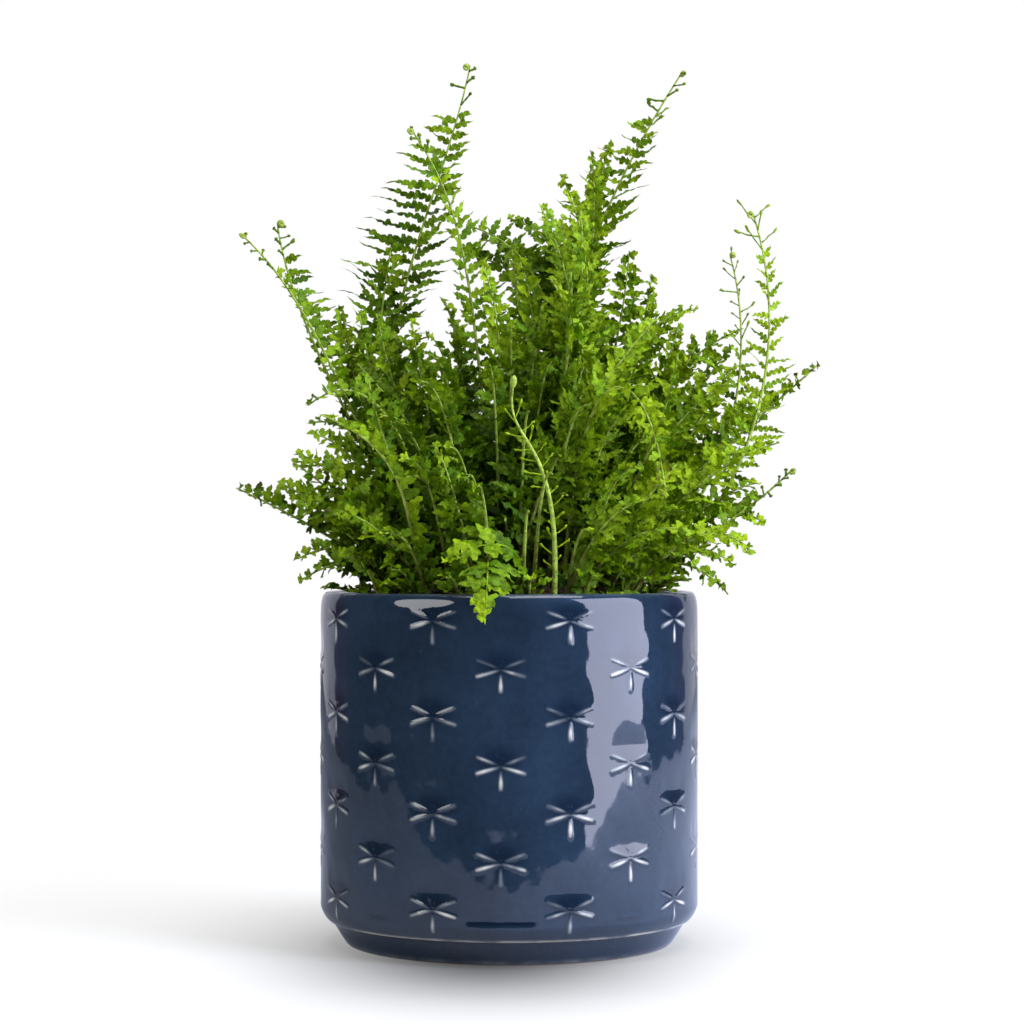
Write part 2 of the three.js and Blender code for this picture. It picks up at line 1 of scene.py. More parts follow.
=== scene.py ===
"""A potted fern with ruffled fronds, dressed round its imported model."""

import math

import bmesh
import bpy
import numpy as np
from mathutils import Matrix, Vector


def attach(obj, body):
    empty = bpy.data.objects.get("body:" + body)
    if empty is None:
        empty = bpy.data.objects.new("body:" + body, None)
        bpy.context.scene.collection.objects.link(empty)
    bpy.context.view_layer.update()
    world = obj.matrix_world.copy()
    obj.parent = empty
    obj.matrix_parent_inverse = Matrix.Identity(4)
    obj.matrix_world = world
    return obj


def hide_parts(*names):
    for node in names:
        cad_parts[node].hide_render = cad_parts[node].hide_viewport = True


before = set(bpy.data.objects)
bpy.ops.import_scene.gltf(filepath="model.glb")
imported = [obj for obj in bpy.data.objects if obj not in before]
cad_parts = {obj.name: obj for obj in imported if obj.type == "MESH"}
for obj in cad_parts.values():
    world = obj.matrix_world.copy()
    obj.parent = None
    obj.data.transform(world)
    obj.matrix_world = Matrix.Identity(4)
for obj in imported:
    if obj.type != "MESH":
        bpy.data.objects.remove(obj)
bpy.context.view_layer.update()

MM = 0.001

# The pot, in millimetres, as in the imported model
POT_RADIUS = 70
SOIL = {"crown": 134, "edge": 123, "reach": 64.5, "gap": 0.35, "bottom": 8.35}
DRAGONFLY = {"columns": 18, "turn": -2.3, "top_row": 120.6, "row_pitch": 33.5, "long_rows": 4}

# Fronds that give the plant its outline, in millimetres and degrees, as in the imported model. Each stem is
# a cubic curve from its base in the soil, by two handles, to its tip.
NAMED_FRONDS = [
    # name, base, first handle, second handle, tip, faces, lift, fold, width, bare
    ("tall_left", (-27, 17), (-71, 30, 205), (-28, 32, 269), (-15, 24, 329), -95, 0.2, 8, 26, 0.47),
    ("second_left", (0, 6), (-16, 4, 215), (-8, 0, 262), (-36, -2, 301), -65, 0.3, 14, 15, 0.4),
    ("tall_right", (6, 20), (8, 22, 198), (23, 20, 260), (65, 13, 325), -120, 0.4, 14, 24, 0.44),
    ("left_long", (-24, 4), (-56, -2, 178), (-66, -8, 232), (-98, -10, 261), -50, 0.8, 12, 17, 0.3),
    ("left_behind", (-24, 11), (-54, 16, 178), (-84, 20, 236), (-88, 20, 269), -60, 0.4, 14, 20, 0.34),
    ("left_arm", (-26, -12), (-34, -16, 196), (-54, -20, 214), (-73, -22, 198), -70, 1.2, 25, 14, 0.36),
    ("left_dark", (-14, -12), (-18, -14, 172), (-36, -10, 192), (-56, -6, 214), -70, 0.8, 14, 16, 0.3),
    ("left_middle", (-32, -22), (-44, -26, 150), (-58, -29, 174), (-76, -30, 180), -70, 1, 18, 17, 0.24),
    ("left_point", (-37, -7), (-52, -9, 142), (-74, -11, 156), (-100, -12, 168), -70, 1, 30, 14, 0.26),
    ("left_low", (-39, 6), (-52, 6, 146), (-64, 5, 150), (-79, 4, 142), -60, 1.6, 16, 14, 0.3),
    ("left_rim", (-42, -17), (-52, -18, 143), (-64, -18, 143), (-76, -19, 134), -60, 1.6, 14, 9, 0.34),
    ("left_arch", (-30, -36), (-38, -48, 162), (-34, -50, 180), (-66, -50, 193), 20, 0.6, 40, 9, 0.26),
    ("front_leaf", (7, -42), (5, -56, 152), (-8, -63, 150), (-22, -67, 141), -90, 1.2, 6, 12, 0.28),
    ("front_hang", (-8, -43), (-7, -60, 150), (-7, -76, 142), (-8, -80, 122), -90, 0.8, 4, 11, 0.45),
    ("arch_front", (20, -30), (24, -38, 226), (50, -50, 216), (55, -56, 165), -100, 1.2, 22, 14, 0.34),
    ("centre_cross", (3, -33), (8, -36, 172), (28, -38, 198), (52, -34, 228), -80, 0.5, 16, 17, 0.28),
    ("centre_bright", (16, -20), (34, -26, 170), (34, -30, 215), (15, -32, 243), -20, 0.4, 34, 13, 0.34),
    ("centre_up", (-2, -18), (3, -19, 168), (8, -20, 206), (12, -22, 234), -110, 0.4, 14, 17, 0.3),
    ("centre_tall", (15, -8), (34, -8, 190), (26, -6, 244), (12, -4, 272), -80, 0.4, 14, 19, 0.42),
    ("centre_dark", (4, 12), (22, 14, 205), (26, 16, 256), (-16, 14, 268), -80, 0.6, 14, 23, 0.46),
    ("crown_front", (9, 1), (24, 0, 190), (40, -1, 240), (20, 0, 284), -75, 0.3, 16, 15, 0.48),
    ("crown_back", (12, 10), (20, 10, 195), (36, 8, 250), (31, 8, 294), -110, 0.3, 16, 14, 0.5),
    ("right_upright", (21, 26), (30, 30, 185), (44, 30, 225), (46, 30, 259), -95, 0.2, 10, 15, 0.36),
    ("right_upper", (17, 0), (24, -3, 190), (45, -6, 234), (69, -8, 234), -100, 0.9, 16, 18, 0.34),
    ("right_dark", (24, 11), (34, 13, 180), (58, 14, 216), (86, 14, 228), -100, 0.9, 16, 22, 0.32),
    ("right_brown", (28, 4), (50, 5, 158), (84, 6, 186), (116, 6, 215), -110, 0.8, 30, 14, 0.3),
    ("right_long", (35, -14), (50, -18, 150), (72, -20, 178), (97, -22, 184), -100, 1, 16, 17, 0.26),
    ("right_middle", (40, -24), (58, -27, 142), (84, -28, 156), (102, -29, 174), -100, 1, 18, 11, 0.26),
    ("right_shelf", (38, 3), (54, 2, 156), (74, 0, 168), (94, -2, 156), -100, 1.4, 16, 17, 0.3),
    ("right_low", (43, -33), (58, -35, 150), (74, -36, 158), (87, -36, 145), -90, 1.4, 14, 14, 0.3),
    ("right_rim", (46, -6), (56, -7, 145), (68, -8, 143), (80, -9, 130), -100, 1.4, 18, 8, 0.4),
    ("right_small", (45, 9), (58, 9, 148), (72, 9, 150), (84, 9, 140), -100, 1.6, 16, 13, 0.3),
    ("front_right", (29, -36), (36, -40, 146), (48, -44, 164), (60, -46, 176), -90, 1, 14, 15, 0.24),
    ("front_fill", (21, -43), (26, -48, 146), (36, -53, 160), (47, -56, 163), -90, 1.2, 14, 14, 0.28),
]
# More fronds of the same kind that thicken the bush where the photograph shows it closed
EXTRA_FRONDS = [
    ("extra_crown", (8, 15), (22, 18, 205), (34, 20, 246), (2, 18, 258), -80, 0.5, 14, 20, 0.42),
    ("extra_top", (12, 16), (16, 18, 200), (30, 18, 250), (32, 17, 288), -100, 0.3, 14, 17, 0.46),
    ("extra_top_right", (10, 18), (12, 20, 200), (28, 22, 255), (38, 20, 300), -110, 0.3, 14, 15, 0.48),
    ("extra_top_left", (8, 12), (12, 14, 195), (24, 14, 240), (20, 14, 271), -90, 0.3, 14, 14, 0.46),
    ("extra_dark_left", (8, 14), (34, 18, 200), (32, 18, 264), (0, 18, 271), -85, 0.4, 12, 15, 0.46),
    ("extra_dark", (6, 14), (28, 18, 200), (30, 18, 256), (-10, 18, 263), -85, 0.4, 12, 18, 0.46),
    ("extra_dark_low", (6, 12), (30, 18, 195), (30, 18, 250), (-21, 18, 259), -85, 0.4, 12, 16, 0.46),
    ("extra_pale", (-6, -10), (-6, -14, 180), (2, -16, 225), (-10, -14, 250), -80, 0.4, 14, 14, 0.34),
    ("extra_upright", (24, 16), (34, 18, 180), (50, 20, 215), (54, 18, 248), -90, 0.4, 12, 14, 0.34),
    ("extra_left_mass", (-22, 6), (-42, 8, 170), (-60, 10, 205), (-64, 8, 236), -75, 0.5, 14, 19, 0.34),
    ("extra_left_inner", (-20, 0), (-30, 0, 170), (-44, -2, 205), (-48, -4, 228), -80, 0.6, 14, 17, 0.3),
    ("extra_left_point", (-36, -4), (-50, -6, 148), (-66, -8, 160), (-84, -10, 170), -75, 0.5, 14, 16, 0.2),
    ("extra_left_rim", (-44, -8), (-52, -10, 142), (-60, -14, 143), (-70, -16, 139), -75, 1, 14, 11, 0.1),
    ("extra_right_high", (28, 8), (42, 10, 165), (58, 12, 196), (70, 10, 222), -100, 0.5, 14, 17, 0.3),
    ("extra_right_mass", (34, 14), (50, 16, 155), (72, 16, 185), (93, 14, 204), -100, 0.5, 14, 17, 0.28),
    ("extra_right_out", (38, -10), (56, -12, 150), (78, -14, 168), (91, -14, 170), -100, 0.6, 14, 15, 0.26),
    ("extra_middle", (2, 2), (6, 0, 190), (14, -2, 230), (4, -6, 252), -85, 0.5, 14, 18, 0.36),
    ("extra_right_top", (18, 12), (30, 14, 180), (48, 14, 216), (60, 8, 232), -100, 0.6, 14, 17, 0.34),
    ("extra_right", (26, 2), (40, 2, 165), (62, 2, 196), (80, 2, 207), -100, 0.8, 16, 18, 0.3),
    ("extra_right_low", (34, -4), (50, -6, 152), (68, -8, 176), (84, -8, 186), -100, 0.9, 16, 17, 0.28),
    ("extra_right_back", (30, 18), (46, 22, 160), (66, 26, 200), (84, 22, 222), -100, 0.8, 16, 16, 0.3),
    ("extra_left_top", (-16, 14), (-30, 18, 180), (-44, 16, 214), (-50, 12, 234), -70, 0.6, 14, 18, 0.34),
    ("extra_left", (-28, -4), (-42, -8, 160), (-58, -12, 186), (-72, -14, 188), -70, 0.9, 16, 17, 0.3),
    ("extra_left_low", (-36, -12), (-50, -16, 146), (-62, -20, 164), (-76, -20, 162), -70, 1.1, 16, 15, 0.26),
    ("extra_forward", (-30, -30), (-40, -38, 146), (-50, -44, 160), (-62, -44, 158), -80, 1.1, 14, 13, 0.24),
    ("extra_front", (-12, -36), (-16, -44, 150), (-20, -50, 172), (-26, -52, 182), -85, 0.8, 14, 13, 0.24),
    ("extra_front_right", (26, -38), (36, -46, 148), (50, -52, 156), (64, -50, 152), -90, 1.1, 14, 13, 0.24),
]
# Fronds seen edge-on from the front, which give the bush its body from the sides and the back
CROSS_FRONDS = [
    ("cross_front", (10, -14), (16, -20, 180), (24, -32, 220), (22, -44, 244), 4, 0.3, 12, 18, 0.34),
    ("cross_crown", (12, 2), (20, -4, 195), (30, -12, 240), (26, -18, 270), 176, 0.3, 12, 18, 0.4),
    ("cross_back_crown", (12, 18), (20, 24, 195), (30, 34, 240), (24, 42, 274), 8, 0.3, 12, 19, 0.38),
    ("cross_back", (8, 28), (14, 40, 180), (18, 56, 215), (14, 66, 242), 174, 0.4, 12, 19, 0.34),
    ("cross_right_front", (30, -18), (44, -24, 165), (58, -34, 195), (60, -42, 214), 10, 0.4, 14, 16, 0.3),
    ("cross_right_back", (30, 22), (44, 34, 170), (56, 50, 200), (56, 60, 226), 170, 0.4, 14, 18, 0.32),
    ("cross_left_fore", (-26, -18), (-38, -26, 165), (-48, -36, 190), (-50, -44, 206), 172, 0.4, 14, 16, 0.3),
    ("cross_left_back", (-22, 24), (-36, 36, 170), (-48, 50, 200), (-50, 60, 222), 6, 0.4, 14, 18, 0.32),
    ("cross_middle_back", (-6, 22), (-12, 34, 180), (-18, 46, 215), (-22, 56, 236), 178, 0.4, 14, 18, 0.34),
]
# Fronds in small gaps between the others
GAP_FRONDS = [
    ("gap_left", (-20, 2), (-36, 4, 165), (-51, 6, 200), (-56, 6, 234), -85, 0.5, 14, 15, 0.34),
    ("gap_left_inner", (-14, -2), (-22, -4, 165), (-31, -6, 195), (-36, -6, 230), -85, 0.5, 14, 14, 0.34),
    ("gap_left_out", (-34, -2), (-46, -4, 148), (-60, -6, 164), (-80, -6, 178), -75, 0.6, 14, 12, 0.3),
    ("gap_tall", (-22, 14), (-54, 24, 190), (-52, 26, 222), (-45, 26, 261), -90, 0.3, 10, 20, 0.5),
    ("gap_middle", (2, 6), (6, 6, 190), (6, 6, 225), (1, 6, 258), -85, 0.4, 14, 12, 0.4),
    ("gap_right_high", (26, 10), (40, 12, 170), (56, 14, 200), (64, 14, 230), -100, 0.5, 14, 15, 0.34),
    ("gap_right", (32, 6), (48, 8, 155), (66, 10, 185), (84, 10, 214), -100, 0.6, 14, 16, 0.3),
]
# Thin young fronds with knobs for leaflets
YOUNG_FRONDS = [
    ("young_tall", (40, -11), (75, -12, 140), (110, -12, 205), (90, -10, 269), -90, 0.3, 0, 12, 0.36),
    ("young_right", (31, 20), (84, 22, 150), (96, 22, 215), (84, 20, 257), -90, 0.3, 0, 8, 0.52),
    ("young_front", (16, -49), (19, -57, 190), (-2, -58, 180), (1.4, -58, 202), -90, 0.3, 0, 8, 0.12),
]
CURLED = ("tall_left", "second_left", "tall_right", "left_long", "left_behind", "right_middle")

KEYS = ("name", "base", "rise", "bend", "tip", "faces", "lift", "fold", "width", "bare")

# Rings of fronds that fill the bush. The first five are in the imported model, and the rest only here.
RINGS = [
    # name, count, from, step, base, reach, top, width, bare, arch
    ("heart", 4, 147, 62, 14, 32, 232, 16, 0.4, 0.1),
    ("middle", 5, 30, 52, 27, 60, 206, 16, 0.34, 0.25),
    ("back", 5, 24, 33, 35, 86, 190, 17, 0.3, 0.4),
    ("back_low", 4, 36, 35, 44, 82, 150, 14, 0.32, 0.7),
    ("front_low", 2, -128, 26, 36, 66, 166, 14, 0.26, 0.5),
    ("fill_crown", 10, 10, 36, 18, 40, 216, 16, 0.3, 0.15),
    ("fill_middle", 14, 20, 25.7, 30, 60, 190, 15, 0.25, 0.3),
    ("fill_outer", 14, 5, 25.7, 42, 74, 168, 14, 0.2, 0.45),
    ("fill_low", 18, 12, 20, 48, 67, 150, 12, 0.12, 0.5),
    ("fill_floor", 16, 3, 22.5, 22, 48, 158, 13, 0.1, 0.6),
    ("fill_rim", 30, 8, 12, 54, 65, 136, 9, 0.05, 0.6),
]
LOW_RINGS = ("fill_floor", "fill_rim")
RING_FOLD = 16
RING_LIFT = 2.5
JITTER = {"turn": 7, "top": 9, "reach": 5}
DRAWS = {"turn": 1, "top": 101, "reach": 201, "per_ring": 10}
BOW = {"rise_out": (0.1, 0.3), "rise_up": (0.55, 0.3), "bend_out": (0.5, 0.2), "bend_up": (0.92, 0.4)}
ROOT_DEPTH = 8
ROOT_RISE = 1.2
# Points that a stem's curve is measured on, and the least number of steps along it
CURVE_POINTS, LEAST_STEPS = 600, 8

# How the leaflets of a kind of frond look, in millimetres. lobe is a lobe's length along the leaflet, cut
# how deep the outline goes in between two lobes, ruffle how far the lobes stand up or down, and thread
# the share of the leaflet that is only a thread at its end.
STYLE_KEYS = ("pitch", "half", "lobe", "cut", "ruffle", "thread", "droop", "stray", "twist", "bare")
STYLES = {
    "bush": (3.5, 2.95, 2.1, 0.56, 0.85, 0.03, -0.14, 12, 28, 0.5),
    "tall": (4.3, 2.6, 2.5, 0.46, 0.75, 0.1, 0.02, 9, 28, 1),
    "front": (4.4, 3.8, 2.9, 0.6, 0.6, 0, -0.1, 8, 16, 0.9),
    "young": (5, 2, 1.9, 0.3, 0.6, 0.05, 0.06, 14, 24, 1),
}
TALL_KIND = ("tall_left", "second_left", "tall_right", "left_long", "left_behind", "centre_dark", "gap_tall")
FRONT_KIND = ("front_leaf", "front_hang", "left_arch")
STYLE_OF = {**dict.fromkeys(TALL_KIND, "tall"), **dict.fromkeys(FRONT_KIND, "front")}
# Fronds whose left and right leaflets differ: their share of the width, and their sweep in degrees
UNEVEN = {
    "tall_left": ((1, 0.65), (-8, 32)),
    "second_left": ((0.65, 1), None),
    "tall_right": ((1, 0.85), (-14, 34)),
    "left_long": ((0.28, 0.75), (30, 0)),
    "left_behind": ((0.24, 1.1), (34, -4)),
    "left_point": ((0.4, 1.25), (20, 20)),
    "left_low": ((0.55, 1), (20, 20)),
    "left_arm": ((0.5, 1), (20, 10)),
    "centre_dark": ((0.8, 1), (-4, -12)),
    "right_brown": ((1, 0.6), (20, 24)),
    "right_upright": ((1.35, 1.6), (14, 8)),
    "right_middle": ((0.9, 0.5), (24, 24)),
}
# Where the leaflets of a young top end and its knobs begin, as a share of the leafy part
KNOBS_FROM = {
    "tall_left": 0.84, "second_left": 0.86, "tall_right": 0.84, "left_long": 0.85, "left_behind": 0.88,
    "right_middle": 0.8, "young_right": 0.5, "young_tall": 0.86, "young_front": 0,
}
ROOT_SWEEP = 12
TIP_SWEEP = 44
# Length of the leaflets as a share of the longest: at the root, where they are longest, at the tip, and a
# power that says how they get shorter
TAPER = (0.5, 0.25, 0.13, 1.3)
# How light a frond's green is, from 0 to 1
TONES = {
    "front_leaf": 0.42, "front_hang": 0.4, "left_arch": 0.85, "arch_front": 0.75, "centre_bright": 0.85,
    "young_tall": 0.7, "young_right": 0.6, "young_front": 0.95, "tall_left": 0.36, "second_left": 0.46,
    "tall_right": 0.52, "left_dark": 0.2, "left_middle": 0.62, "left_low": 0.72, "centre_dark": 0.24,
    "centre_up": 0.3, "centre_cross": 0.62, "extra_dark": 0.28, "extra_dark_low": 0.26,
    "extra_dark_left": 0.24, "extra_pale": 0.75, "gap_tall": 0.34, "extra_upright": 0.55,
    "right_upright": 0.42, "right_dark": 0.42, "right_brown": 0.4, "right_long": 0.68, "right_shelf": 0.68,
    "right_low": 0.72, "right_upper": 0.62, "front_right": 0.64,
}
USUAL_TONE = 0.5
# How much lighter fronds get towards their tips, and where along them their tone is their own
SLOPE = {"front_hang": 1.1, "front_leaf": 0.5}
USUAL_SLOPE, SLOPE_MIDDLE = 0.3, 0.4
# Fronds whose tips are brown
BROWN_ENDS = ("left_point", "right_brown", "arch_front")

# Greens and browns of the leaves and stems, as linear colours
DARK_GREEN, MID_GREEN, LIGHT_GREEN, BROWN, STEM_GREEN, STEM_BROWN = np.array(
    (
        (0.02, 0.052, 0.001),
        (0.096, 0.181, 0.002),
        (0.24, 0.352, 0.006),
        (0.06, 0.028, 0.01),
        (0.19, 0.26, 0.04),
        (0.045, 0.03, 0.008),
    )
)
# Painted shade: inside the bush the leaves are painted darker, for the shade there: how far out and how high
# that reaches, and how much it is. Painted light: they are painted a little lighter to the right
SHADE = {"reach": 66, "low": 165, "high": 232, "depth": 0.82, "to_right": 0.05}


# Two numbers that make a sine look random
DRAW_TURN, DRAW_SPREAD = 12.9898, 43758.5453


def draw(seed):
    """A draw from 0 to 1 that is the same for the same number on every run."""
    wave = math.sin(seed * DRAW_TURN) * DRAW_SPREAD
    return wave - math.floor(wave)


def unit(vectors):
    return vectors / np.linalg.norm(vectors, axis=-1, keepdims=True)


def soil_top(distance):
    """Height of the soil's domed top at a distance from the middle."""
    return SOIL["crown"] - (SOIL["crown"] - SOIL["edge"]) * (distance / SOIL["reach"]) ** 2


def ring_fronds(ring, row):
    """The fronds of one ring, each in the upright plane through the crown that its turn gives."""
    name, count, start, step, base, ring_reach, ring_top, width, bare, arch = row
    fronds = []
    for i in range(count):
        seed = DRAWS["per_ring"] * ring + i

        def spread(key):
            return JITTER[key] * (2 * draw(DRAWS[key] + seed) - 1)

        turn = math.radians(start + step * i + spread("turn"))
        top = ring_top + spread("top")
        reach = ring_reach + spread("reach")
        ground = soil_top(base)

        def at(distance, height):
            return (distance * math.cos(turn), distance * math.sin(turn), height)

        def handle(out, up):
            out_share, up_share = (key[0] + key[1] * arch for key in (BOW[out], BOW[up]))
            return at(base + out_share * (reach - base), ground + up_share * (top - ground))

        rise, bend = handle("rise_out", "rise_up"), handle("bend_out", "bend_up")
        faces = math.degrees(turn) + 180
        place = (at(base, ground)[:2], rise, bend, at(reach, top), faces)
        fronds.append(dict(zip(KEYS, (f"{name}_{i + 1}", *place, RING_LIFT, RING_FOLD, width, bare))))
    return fronds


def stem_of(frond, step):
    """Points along a frond's stem about a step apart, with the way it runs, its right side and its face."""
    start = (*frond["base"], soil_top(math.hypot(*frond["base"])) + ROOT_RISE)
    control = np.array([start, frond["rise"], frond["bend"], frond["tip"]], float)
    t = np.linspace(0, 1, CURVE_POINTS)[:, None]
    curve = sum(math.comb(3, i) * (1 - t) ** (3 - i) * t**i * control[i] for i in range(4))
    lengths = np.concatenate([[0], np.cumsum(np.linalg.norm(np.diff(curve, axis=0), axis=1))])
    count = max(LEAST_STEPS, round(lengths[-1] / step))
    at = np.linspace(0, lengths[-1], count + 1)
    points = np.stack([np.interp(at, lengths, curve[:, i]) for i in range(3)], 1)
    along = unit(np.gradient(points, axis=0))
    faces = math.radians(frond["faces"])
    looks = unit(np.array((math.cos(faces), math.sin(faces), frond["lift"])))
    side = unit(np.cross(along, looks))
    return dict(at=at, point=points, along=along, side=side, face=np.cross(side, along))


def place_on(stem, at):
    """A stem's point and directions at a distance along it."""
    spot = {
        key: np.array([np.interp(at, stem["at"], stem[key][:, i]) for i in range(3)])
        for key in ("point", "along", "side", "face")
    }
    for key in ("along", "side", "face"):
        spot[key] = unit(spot[key])
    return spot


def new_object(name, data):
    """A new object in the scene."""
    made = bpy.data.objects.new(name, data)
    bpy.context.scene.collection.objects.link(made)
    return made


def paint(mesh, name, rgba):
    """Gives each point of a mesh a colour, in an attribute that its material reads."""
    colour = mesh.color_attributes.new(name, "FLOAT_COLOR", "POINT")
    colour.data.foreach_set("color", rgba.ravel().astype(np.float32))


def sleeve(rows, sides):
    """Triangles between rows of points that lie in rings."""
    this = np.arange((rows - 1) * sides)
    after = this // sides * sides + (this + 1) % sides
    return np.stack([this, after, after + sides, this, after + sides, this + sides], 1).reshape(-1, 3)


def fan(middle, first, sides):
    """Triangles from a middle point to a ring of points."""
    this = np.arange(sides)
    return np.stack([np.full(sides, middle), first + this, first + (this + 1) % sides], 1)


class Leafage:
    """Collects the points and faces of a piece of the plant, with each point's colour and role."""

    LEAF, STEM = 0, 1
    INNER, LEFT, RIGHT, END = 0, 1, 2, 3

    def __init__(self):
        self.points, self.colours, self.roles, self.faces, self.slots = [], [], [], [], []
        self.count = 0

    def add(self, points, colours, roles, faces, slot):
        self.points.append(points)
        self.colours.append(colours)
        self.roles.append(roles)
        self.faces.append(faces + self.count)
        self.slots.append(np.full(len(faces), slot))
        self.count += len(points)

    def piece(self, name, materials):
        """One mesh object of triangles, with smooth faces and a crisp outline round each leaflet."""
        points = np.concatenate(self.points) * MM
        faces = np.concatenate(self.faces)
        mesh = bpy.data.meshes.new(name)
        mesh.vertices.add(len(points))
        mesh.vertices.foreach_set("co", points.ravel())
        mesh.loops.add(faces.size)
        mesh.loops.foreach_set("vertex_index", faces.ravel().astype(np.int32))
        mesh.polygons.add(len(faces))
        mesh.polygons.foreach_set("loop_start", np.arange(0, faces.size, 3, dtype=np.int32))
        mesh.polygons.foreach_set("material_index", np.concatenate(self.slots).astype(np.int32))
        mesh.update(calc_edges=True)
        mesh.validate()
        mesh.shade_smooth()
        edges = np.empty(len(mesh.edges) * 2, np.int32)
        mesh.edges.foreach_get("vertices", edges)
        role = np.concatenate(self.roles)[edges.reshape(-1, 2)]
        outer = (role > self.INNER).all(axis=1)
        along = (role[:, 0] == role[:, 1]) | (role == self.END).any(axis=1)
        sharp = mesh.attributes.new("sharp_edge", "BOOLEAN", "EDGE")
        sharp.data.foreach_set("value", outer & along)
        colours = np.concatenate(self.colours)
        paint(mesh, "tint", np.hstack([colours, np.ones((len(colours), 1))]))
        for material in materials:
            mesh.materials.append(material)
        return new_object(name, mesh)


def leaf_colour(tone):
    """A green from dark at 0 to light at 1, for an array of tones."""
    tone = np.clip(tone, 0, 1)[..., None] * 2
    low = DARK_GREEN + (MID_GREEN - DARK_GREEN) * np.minimum(tone, 1)
    return low + (LIGHT_GREEN - MID_GREEN) * np.maximum(tone - 1, 0)


# One lobe's outline at three steps: how far out it goes between its notch and its tip, how much of its
# ruffle it has there, and how far the step is moved along the leaflet, as a share of the lobe. The lobes of
# the right edge start a step after those of the left.
LOBE_OUT = np.array((0.0, 0.92, 1.0))
LOBE_LIFT = np.array((0.1, 0.9, 0.9))
LOBE_SHIFT = np.array((0.0, -0.1, 0.09))
# Least and largest draw for a lobe's size, a row's size and a lobe's rise
LOBE_SIZE, ROW_SIZE, LOBE_RISE = (0.6, 1.2), (0.93, 1.07), (0.5, 1.1)
# How much every row stands up, the spread of it, and the turn of the ruffle's wave from lobe to lobe
ROW_RISE, RISE_SPREAD, RISE_TURN = 0.1, 0.12, 2.1
# The ruffle is least at the root, and full after some rows
LEAST_RUFFLE, RUFFLED_AFTER = 0.2, 5
# A blade's width from its root to its end, as shares, and half its width at the stem in millimetres
BLADE = {"root": 0.55, "widens": 2.6, "ends": 1.02, "power": 0.6, "least": 0.11, "at_stem": 0.3}
# Its rows and its end: the spread of their places, how far forward the lobes lean and where the end point is
ROWS = {"spread": 0.3, "thread": (0.3, 1.5), "forward": 0.24, "end": 1.04}
# Its bends: sideways and down with their spreads, a wave along it, and how much more it twists at its tip
BEND = {"side": 0.03, "spread": 0.07, "droop_spread": 0.09, "wave": 0.035, "waves": 8, "twist": 1.5}
# Half its thickness at the rib, in millimetres, and how that gets less towards the tip
RIB_HEIGHT, RIB_FROM, RIB_LEAST = 0.13, 1.2, 0.4
# Its tones: the spread, and how much lighter its tip, edges and end point are, and the painted light that
# makes its lifted lobes and upper side lighter
TINT = {"spread": 0.13, "to_tip": 0.14, "edge": 0.08, "lifted_light": 0.1, "top": 0.12, "end": 0.1}
# Some blades are cooler: how much less red and green and more blue, and a power that keeps them few
COOL = {"red": 0.22, "green": 0.05, "blue": 0.007, "power": 3}
BROWN_POWER = 1.5


def edge(rng, style, size, lobes, first):
    """How far out and how high one edge of a leaflet goes at each row, and how far the row is moved."""
    steps = len(LOBE_OUT)
    count = lobes + 1
    rows = slice(first, first + lobes * steps)
    large = np.repeat(rng.uniform(*LOBE_SIZE, count), steps) * rng.uniform(*ROW_SIZE, steps * count)
    wave = np.sin(rng.uniform(0, 2 * math.pi) + RISE_TURN * np.arange(count))
    lift = np.repeat(style["ruffle"] * wave * rng.uniform(*LOBE_RISE, count), steps)
    reach = style["cut"] + (1 - style["cut"]) * np.tile(LOBE_OUT, count)
    width = style["half"] * size * (reach * large)[rows]
    up = (lift * np.tile(LOBE_LIFT, count))[rows] + rng.normal(0, RISE_SPREAD, lobes * steps) + ROW_RISE
    near = np.clip(np.arange(lobes * steps) / RUFFLED_AFTER, LEAST_RUFFLE, 1)
    return width, width * up * near, np.tile(LOBE_SHIFT, count)[rows]


